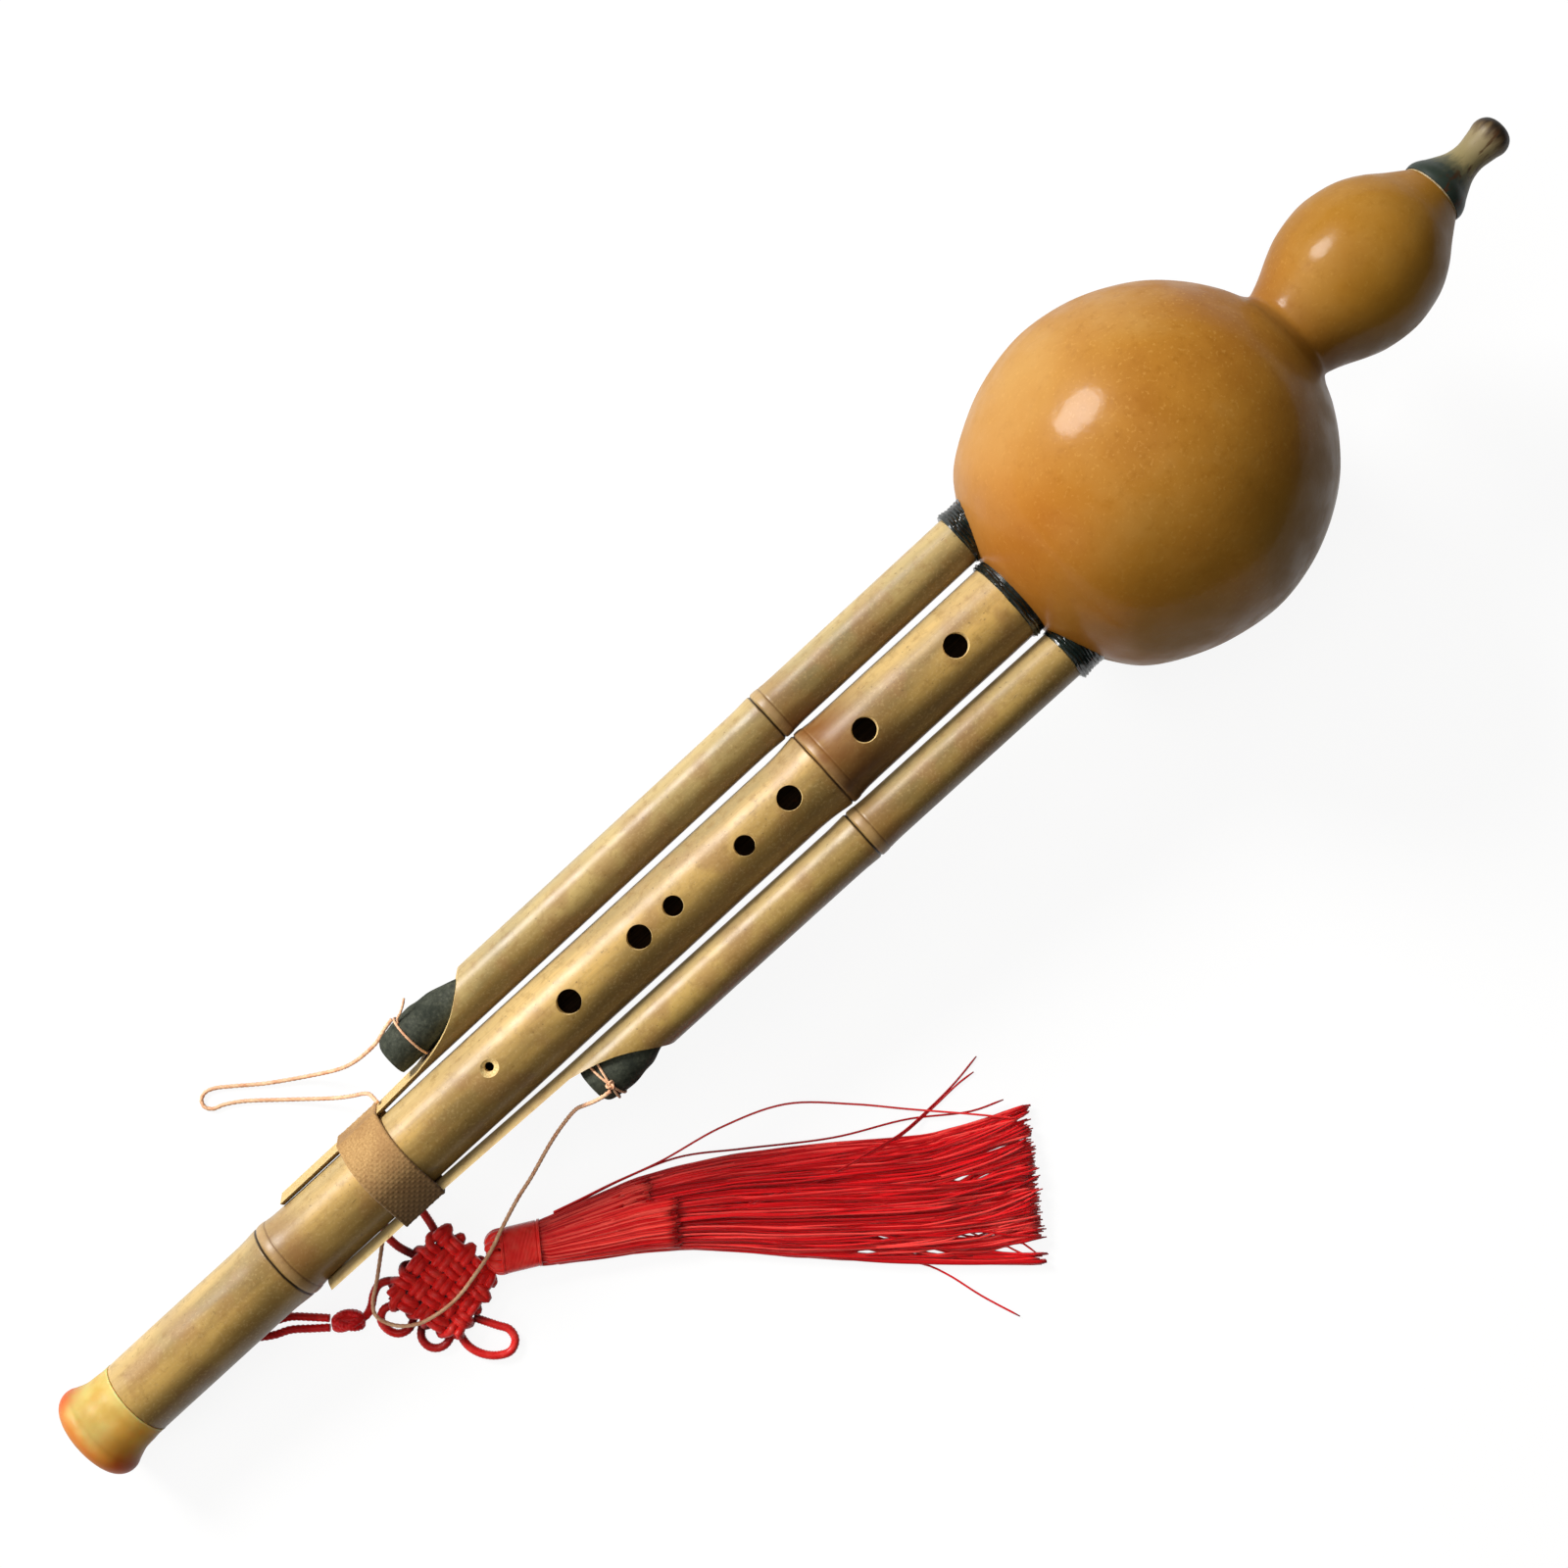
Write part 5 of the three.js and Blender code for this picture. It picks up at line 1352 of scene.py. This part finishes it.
def make_collar(name, place, start, lip, bore, shift, seed):
    """Wax pressed round a pipe by hand: a lumpy ridged lip, a waist and a flare to the gourd."""
    profile = [(start + along * COLLAR_LENGTH, out * lip) for along, out in COLLAR_SHARES]
    outside = spline(profile, WAX_STEP)
    inside = straight([(start + COLLAR_LENGTH, bore + HAIR), (start, bore + HAIR)], 3)
    amount = min(WAX_LUMPS, WAX_LUMP_SHARE * (lip - bore))

    def lumps(points):
        for row in points[: len(outside)]:
            for point in row:
                spot = Vector(point)
                angle = math.atan2(point[2], point[1])
                lump = noise.noise(spot / WAX_LUMP_SIZE + Vector((seed, 0, 0))) - 0.5
                lump += 0.4 * noise.noise(spot / WAX_DENT_SIZE + Vector((0, seed, 0)))
                wave = noise.noise(spot / WAX_WAVE_SIZE) * 2
                ridge = WAX_RIDGE_HEIGHT * math.cos(FULL_TURN * point[0] / WAX_RIDGE + angle + wave)
                reach = math.hypot(point[1], point[2])
                point[1:] *= (reach + amount * lump + ridge) / reach
                point[0] += amount * noise.noise(spot / WAX_DRIFT_SIZE + Vector((0, 0, seed)))
                point[1] += shift
                reach = math.hypot(point[1], point[2])
                point[1:] *= max(reach, bore + WAX_SKIN) / reach
        return points

    outline = np.vstack([outside, inside])
    collar = turned(name + "_wax", outline, PIPE_SIDES, LOOKS["wax"], place, lumps)
    bulk = gourd_outline(-GOURD_BITE)
    cut(collar, tool(bulk[bulk[:, 1] > POLE_CAP / 2], BULK_SIDES, GOURD, "wax"))
    finish(collar, "instrument", "sealing_wax", name)


# Knots


def make_button():
    """A button knot: a thick cord laced over and under itself round a small core."""
    waves = BUTTON_BIGHTS / BUTTON_ROUNDS
    turn = np.linspace(0, FULL_TURN * BUTTON_ROUNDS, 400)
    along = (BUTTON_LENGTH / 2 - BUTTON_INSET) * np.sin(waves * turn)
    reach = BUTTON_RADIUS - 1.2 - 0.35 * np.abs(np.sin(waves * turn)) ** 3
    reach = reach + 0.18 * np.cos(BUTTON_BIGHTS * turn)
    path = np.column_stack([along, reach * np.cos(turn), BUTTON_RADIUS + reach * np.sin(turn)])
    steps = np.linspace(-0.95, 0.95, 20)
    core = np.column_stack([steps * BUTTON_LENGTH / 2, np.zeros(20), np.full(20, BUTTON_RADIUS)])
    swell = 2.5 * np.sqrt(1 - steps ** 6)
    knot = tubes("button_knot_wrap", [path, core], LOOKS["red_cord"],
                 on_table(BUTTON_AT, BUTTON_TURN), radius=[BUTTON_CORD, BUTTON_CORE],
                 sides=BUTTON_SIDES, lobes=[3, 0], lay=CORD_LAY, depth=CORD_GROOVE,
                 taper=[np.ones(len(path)), swell])
    return finish(knot, "lanyard", "red_cord", "button_knot")


def on_knot(a, b):
    """The place on the table of shares from -1 to 1 across the knot's body both ways."""
    weights = ((1 - a) * (1 - b), (1 + a) * (1 - b), (1 + a) * (1 + b), (1 - a) * (1 + b))
    return sum((w * Vector(c) for w, c in zip(weights, KNOT_CORNERS)), Vector((0, 0))) / 4


def woven_row(index, aside, crosswise):
    """Middle line of one cord of a doubled row: over one crossing row, under the next."""
    level = ROW_SHARE * (2 * index / (ROW_COUNT - 1) - 1)
    reach = ROW_REACH - 0.1 * level ** 2
    row = []
    for along in np.linspace(-reach, reach, ROW_POINTS).tolist():
        wave = math.cos(math.pi * (along / ROW_SHARE + 1) * (ROW_COUNT - 1) / 2 + math.pi * index)
        lift = (KNOT_HEIGHT / 2 - KNOT_CORD) * math.copysign(abs(wave) ** 0.6, wave)
        ends = [on_knot(*((level, step) if crosswise else (step, level)))
                for step in (along - 0.01, along + 0.01)]
        across = (ends[1] - ends[0]).normalized()
        spot = (ends[0] + ends[1]) / 2 + aside * PAIR_HALF * Vector((-across.y, across.x))
        row.append((spot.x, spot.y, KNOT_HEIGHT / 2 + (-lift if crosswise else lift)))
    return row


def make_knot():
    """A pan chang knot: doubled cords woven both ways, turning back in lobes at its edge."""
    chance = random.Random(5)
    noise.seed_set(KNOT_SEED)
    paths = []
    for crosswise in (False, True):
        asides = (-1, 1) if crosswise else (1, -1)
        rows = [woven_row(i, aside, crosswise) for i in range(ROW_COUNT) for aside in asides]
        route = []
        for k, row in enumerate(rows):
            row = row if k % 2 == 0 else row[::-1]
            route += row[1:-1]
            if k < len(rows) - 1:
                start, before = Vector(row[-1]), Vector(row[-4])
                after = Vector(rows[k + 1][-1 if k % 2 == 0 else 0])
                out = (start - before).normalized() * chance.uniform(*LOBE_REACH)
                turn = (start + after) / 2 + Vector((out.x, out.y, 0))
                route.append((turn.x, turn.y, KNOT_HEIGHT / 2 + chance.uniform(*LOBE_RISE)))
        path = []
        for spot in spline(route, KNOT_STEP):
            drift = noise.noise_vector(Vector(spot) / KNOT_DRIFT_SIZE + Vector((crosswise, 0, 7)))
            drift *= KNOT_DRIFT
            path.append(Vector(spot) + drift)
        path = np.array(path)
        path[:, 2] = np.clip(path[:, 2], KNOT_CORD + TABLE_GAP, KNOT_HEIGHT - KNOT_CORD + 0.5)
        paths.append(path)
    fat = [0.9 + 0.22 * np.clip(path[:, 2] / KNOT_HEIGHT * 2 - 0.5, 0, 1) for path in paths]
    for route in EAR_ROUTES:
        paths.append(spline(route, KNOT_STEP))
        fat.append(np.full(len(paths[-1]), EAR_SWELL))
    for level in CORE_LEVELS:
        ends = [on_knot(side * ROW_SHARE, level) for side in (-1, 1)]
        paths.append([(*ends[0].lerp(ends[1], step / 12), CORE_WIDTH + 0.2) for step in range(13)])
        fat.append(np.full(13, CORE_WIDTH / KNOT_CORD))
    knot = tubes("pan_chang_cords", paths, LOOKS["knot_cord_painted_light_shade"], radius=KNOT_CORD, sides=CORD_SIDES,
                 lobes=3, lay=CORD_LAY, depth=CORD_GROOVE, taper=fat)
    finish(knot, "lanyard", "red_cord", "pan_chang_knot")


# Tassel


def skirt_edge(share, column):
    """Left, right or top of the skirt at a share of its length."""
    places = [row[0] for row in SKIRT_SHARES]
    scale = TASSEL_HEIGHT if column == 3 else SKIRT_REACH
    return np.interp(share, places, [row[column] * scale for row in SKIRT_SHARES])


def neck_middle(along):
    return HEAD_SHIFT * -along / (SLEEVE_LENGTH + HEAD_LENGTH)


def parted(along, y):
    """A thread's place across the skirt, kept out of the openings."""
    for middle, across, half_length, half_width in PARTINGS:
        room = half_width * (1 - ((along - middle) / half_length) ** 2)
        if abs(y - across) < room:
            y = across + math.copysign(room, y - across)
    return y


def thread_path(chance, across, level, reach, clump, drift):
    """One thread of the tassel, from inside its wrapping to its free end."""
    phase = [chance.uniform(0, FULL_TURN) for _ in range(3)]
    path = []
    for along in np.linspace(THREAD_START, reach, THREAD_POINTS):
        share = max(along, 0) / SKIRT_LENGTH
        left, right, top = (skirt_edge(share, column) for column in (1, 2, 3))
        gather = min(1, share * 2) * 0.4
        lateral = across * (1 - gather) + clump * gather + drift * share**3
        lateral = max(-0.97, min(0.97, lateral + 0.02 * math.sin(phase[0] + 6 * share)))
        rest = math.sqrt(1 - lateral**2)
        loose = min(1, share * 5)
        round_z = TASSEL_HEIGHT / 2 + (2 * level - 1) * rest * (TASSEL_HEIGHT / 2 - 1.3)
        heap_z = THREAD_RADIUS + (top - 0.9) * level * rest**0.7
        z = round_z * (1 - loose) + heap_z * loose + 0.2 * share * math.sin(phase[1] + 11 * share)
        if along < 0:
            y = neck_middle(along) + lateral * (NECK_HALF - 1.3)
        else:
            y = (left + right) / 2 + lateral * (left - right) / 2
            y = parted(along, y + 0.15 * math.sin(phase[2] + 23 * share))
        path.append((along, y, max(THREAD_RADIUS, z)))
    return spline(path, THREAD_STEP)


def make_skirt():
    chance = random.Random(21)
    clumps = [(chance.uniform(-1, 1), chance.uniform(0, 1), chance.uniform(-0.1, 0.25))
              for _ in range(CLUMPS)]
    paths = []
    for _ in range(THREADS):
        across = chance.uniform(-1, 1)
        clump, depth, drift = min(clumps, key=lambda c: abs(c[0] - across) + chance.uniform(0, 0.1))
        level = CLUMP_SHARE * depth + (1 - CLUMP_SHARE) * chance.uniform(0, 1)
        if level > LOOSE_LEVEL:
            drift += chance.uniform(-0.1, 0.5)
        end = SKIRT_LENGTH + chance.gauss(0.4, 0.7) - 9 * max(0, across - 0.72)
        if chance.random() < SHORT_SHARE:
            end -= chance.uniform(*SHORTENED)
        clump += chance.gauss(0, 0.02)
        drift += chance.gauss(0, 0.03)
        paths.append(thread_path(chance, across, level, end, clump, drift))
    for i in range(LOWER_THREADS):
        aside = chance.uniform(-0.9, 0.9)
        rise = 0.6 * (i % 3)
        route = [(x, y + aside * max(0.4, 1 - x / 150), z + rise) for x, y, z in LOWER_BUNDLE]
        paths.append(spline(route, THREAD_STEP))
    paths += [spline(route, THREAD_STEP) for route in STRAYS]
    tapers = [np.append(np.ones(len(path) - 1), 0.6) for path in paths]
    skirt = tubes("tassel_threads", paths, LOOKS["red_yarn"], TASSEL, radius=THREAD_RADIUS,
                  sides=THREAD_SIDES, taper=tapers)
    finish(skirt, "lanyard", "red_yarn", "tassel_bundle")


def make_overlay():
    """Shorter bright threads that lie on the top of the skirt and end in one ragged line."""
    chance = random.Random(8)
    paths = []
    for _ in range(OVERLAY_THREADS):
        across = chance.uniform(-0.9, 0.97)
        end = chance.gauss(OVERLAY_END, 0.7) if across < 0.3 else chance.uniform(20, 29)
        path = thread_path(chance, across, chance.uniform(0.9, 1), end, across, 0)
        paths.append(path + (0, 0, OVERLAY_RADIUS))
    overlay = tubes("tassel_overlay", paths, LOOKS["bright_yarn"], TASSEL, radius=OVERLAY_RADIUS,
                    sides=THREAD_SIDES)
    finish(overlay, "lanyard", "red_yarn")


def bundle_ring(along, left, right, bottom, top, count=40):
    turn = np.arange(count) * FULL_TURN / count
    y, z = (np.sign(f) * np.abs(f) ** 0.75 for f in (np.cos(turn), np.sin(turn)))
    return np.column_stack([np.full(count, along), (left + right) / 2 + y * (left - right) / 2,
                            (bottom + top) / 2 + z * (top - bottom) / 2])


def loft(name, rings, material, place):
    count = len(rings[0])
    faces = grid_faces(len(rings), count)
    faces.append(tuple(range(count)))
    faces.append(tuple(range(len(rings) * count - 1, (len(rings) - 1) * count - 1, -1)))
    return add(name, np.vstack(rings), faces, material, place)


def make_core():
    """The inside of the bundle: a dark sheet of painted shade, which shows between its threads."""
    rings = []
    for share in np.linspace(-0.03, 0.6, 16):
        shrink = 0.72 * (1 - max(0, share) / 0.64) ** 0.5
        left, right, top = (skirt_edge(max(share, 0.005), c) for c in (1, 2, 3))
        middle = (left + right) / 2
        half = (left - right) / 2 * shrink
        bottom = 0.5 + 1.5 * max(0, 1 - share * 5)
        rings.append(bundle_ring(share * SKIRT_LENGTH, middle + half, middle - half, bottom,
                                 bottom + (top - bottom) * shrink))
    core = loft("tassel_core", rings, LOOKS["painted_shade_yarn"], TASSEL)
    finish(core, "lanyard", "red_yarn")


def make_sleeve():
    """Fine thread wound closely round the neck, with a border at each end."""
    count = WRAPS * WRAP_STEPS
    rings = []
    for i in range(count + 1):
        along = -SLEEVE_LENGTH - 0.2 + i / count * (SLEEVE_LENGTH + 0.4)
        wrap = i // WRAP_STEPS
        groove = WRAP_GROOVE * (1 - abs(math.sin(math.pi * i / WRAP_STEPS)))
        from_end = min(wrap, WRAPS - 1 - wrap)
        groove += BORDER_GROOVE * (from_end == BORDER) - WRAP_GROOVE * (from_end < BORDER)
        half = NECK_HALF - WRAP_GROOVE - groove
        middle = neck_middle(along)
        rings.append(bundle_ring(along, middle + half, middle - half, groove + 0.14,
                                 TASSEL_HEIGHT - 0.14 - groove, 64))
    sleeve = loft("tassel_wrapping", rings, LOOKS["satin"], TASSEL)
    finish(sleeve, "lanyard", "red_yarn", "tassel_sleeve")


def make_head():
    """The folds of the threads above the wrapping."""
    chance = random.Random(3)
    middle = neck_middle(-SLEEVE_LENGTH)
    height = TASSEL_HEIGHT / 2
    paths = []
    for i in range(FOLDS):
        turn = FULL_TURN * i / FOLDS + chance.uniform(-0.06, 0.06)
        y, z = (math.copysign(abs(f) ** 0.75, f) for f in (math.cos(turn), math.sin(turn)))
        tip = -SLEEVE_LENGTH - HEAD_LENGTH * chance.uniform(0.65, 0.85)
        route = [(-SLEEVE_LENGTH + 1.5, middle + y * (NECK_HALF - 1.4), height + z * 2.5),
                 (-SLEEVE_LENGTH - 1, middle + y * (NECK_HALF - 1.2), height + z * 2.75),
                 (tip + 0.6, middle + y * (NECK_HALF - 2), height + z * 2.2),
                 (tip, middle + y * (NECK_HALF - 3.6), height + z * 1.1),
                 (tip + 1.6, middle + y * (NECK_HALF - 5), height + z * 0.3)]
        paths.append(spline(route, 0.5))
    head = tubes("tassel_head", paths, LOOKS["satin"], TASSEL, radius=FOLD_RADIUS, sides=FOLD_SIDES,
                 lobes=7, lay=30, depth=0.08)
    finish(head, "lanyard", "red_yarn")


# Nodes of the frame that stay


def dress_nodes():
    looks = {"reed_plate": "brass", "reed_tongue": "brass", "end_plug": "wax",
             "stop_knot": "red_cord"}
    for name, node in frame["nodes"].items():
        for ending, look in looks.items():
            if name.endswith(ending):
                node.data.materials.clear()
                node.data.materials.append(LOOKS[look])


make_camera()
make_stage()
make_tethers()
make_strands(make_button())
make_knot()
make_gourd()
make_mouthpiece()
make_pipe()
make_bell()
for drone_name, drone_sizes in DRONES.items():
    make_drone(drone_name, drone_sizes)
    make_stopper(drone_name, drone_sizes)
    make_tie(drone_name, drone_sizes)
    make_collar(f"{drone_name}_collar", DRONE[drone_sizes["side"]], DRONE_LEAD, DRONE_LIP,
                DRONE_RADIUS, drone_sizes["side"] * COLLAR_SHIFT, 4 + drone_sizes["side"])
make_collar("main_collar", INSTRUMENT, COLLAR_AT, MAIN_LIP, TOP_RADIUS, 0, 9)
make_band()
make_skirt()
make_overlay()
make_core()
make_sleeve()
make_head()
dress_nodes()
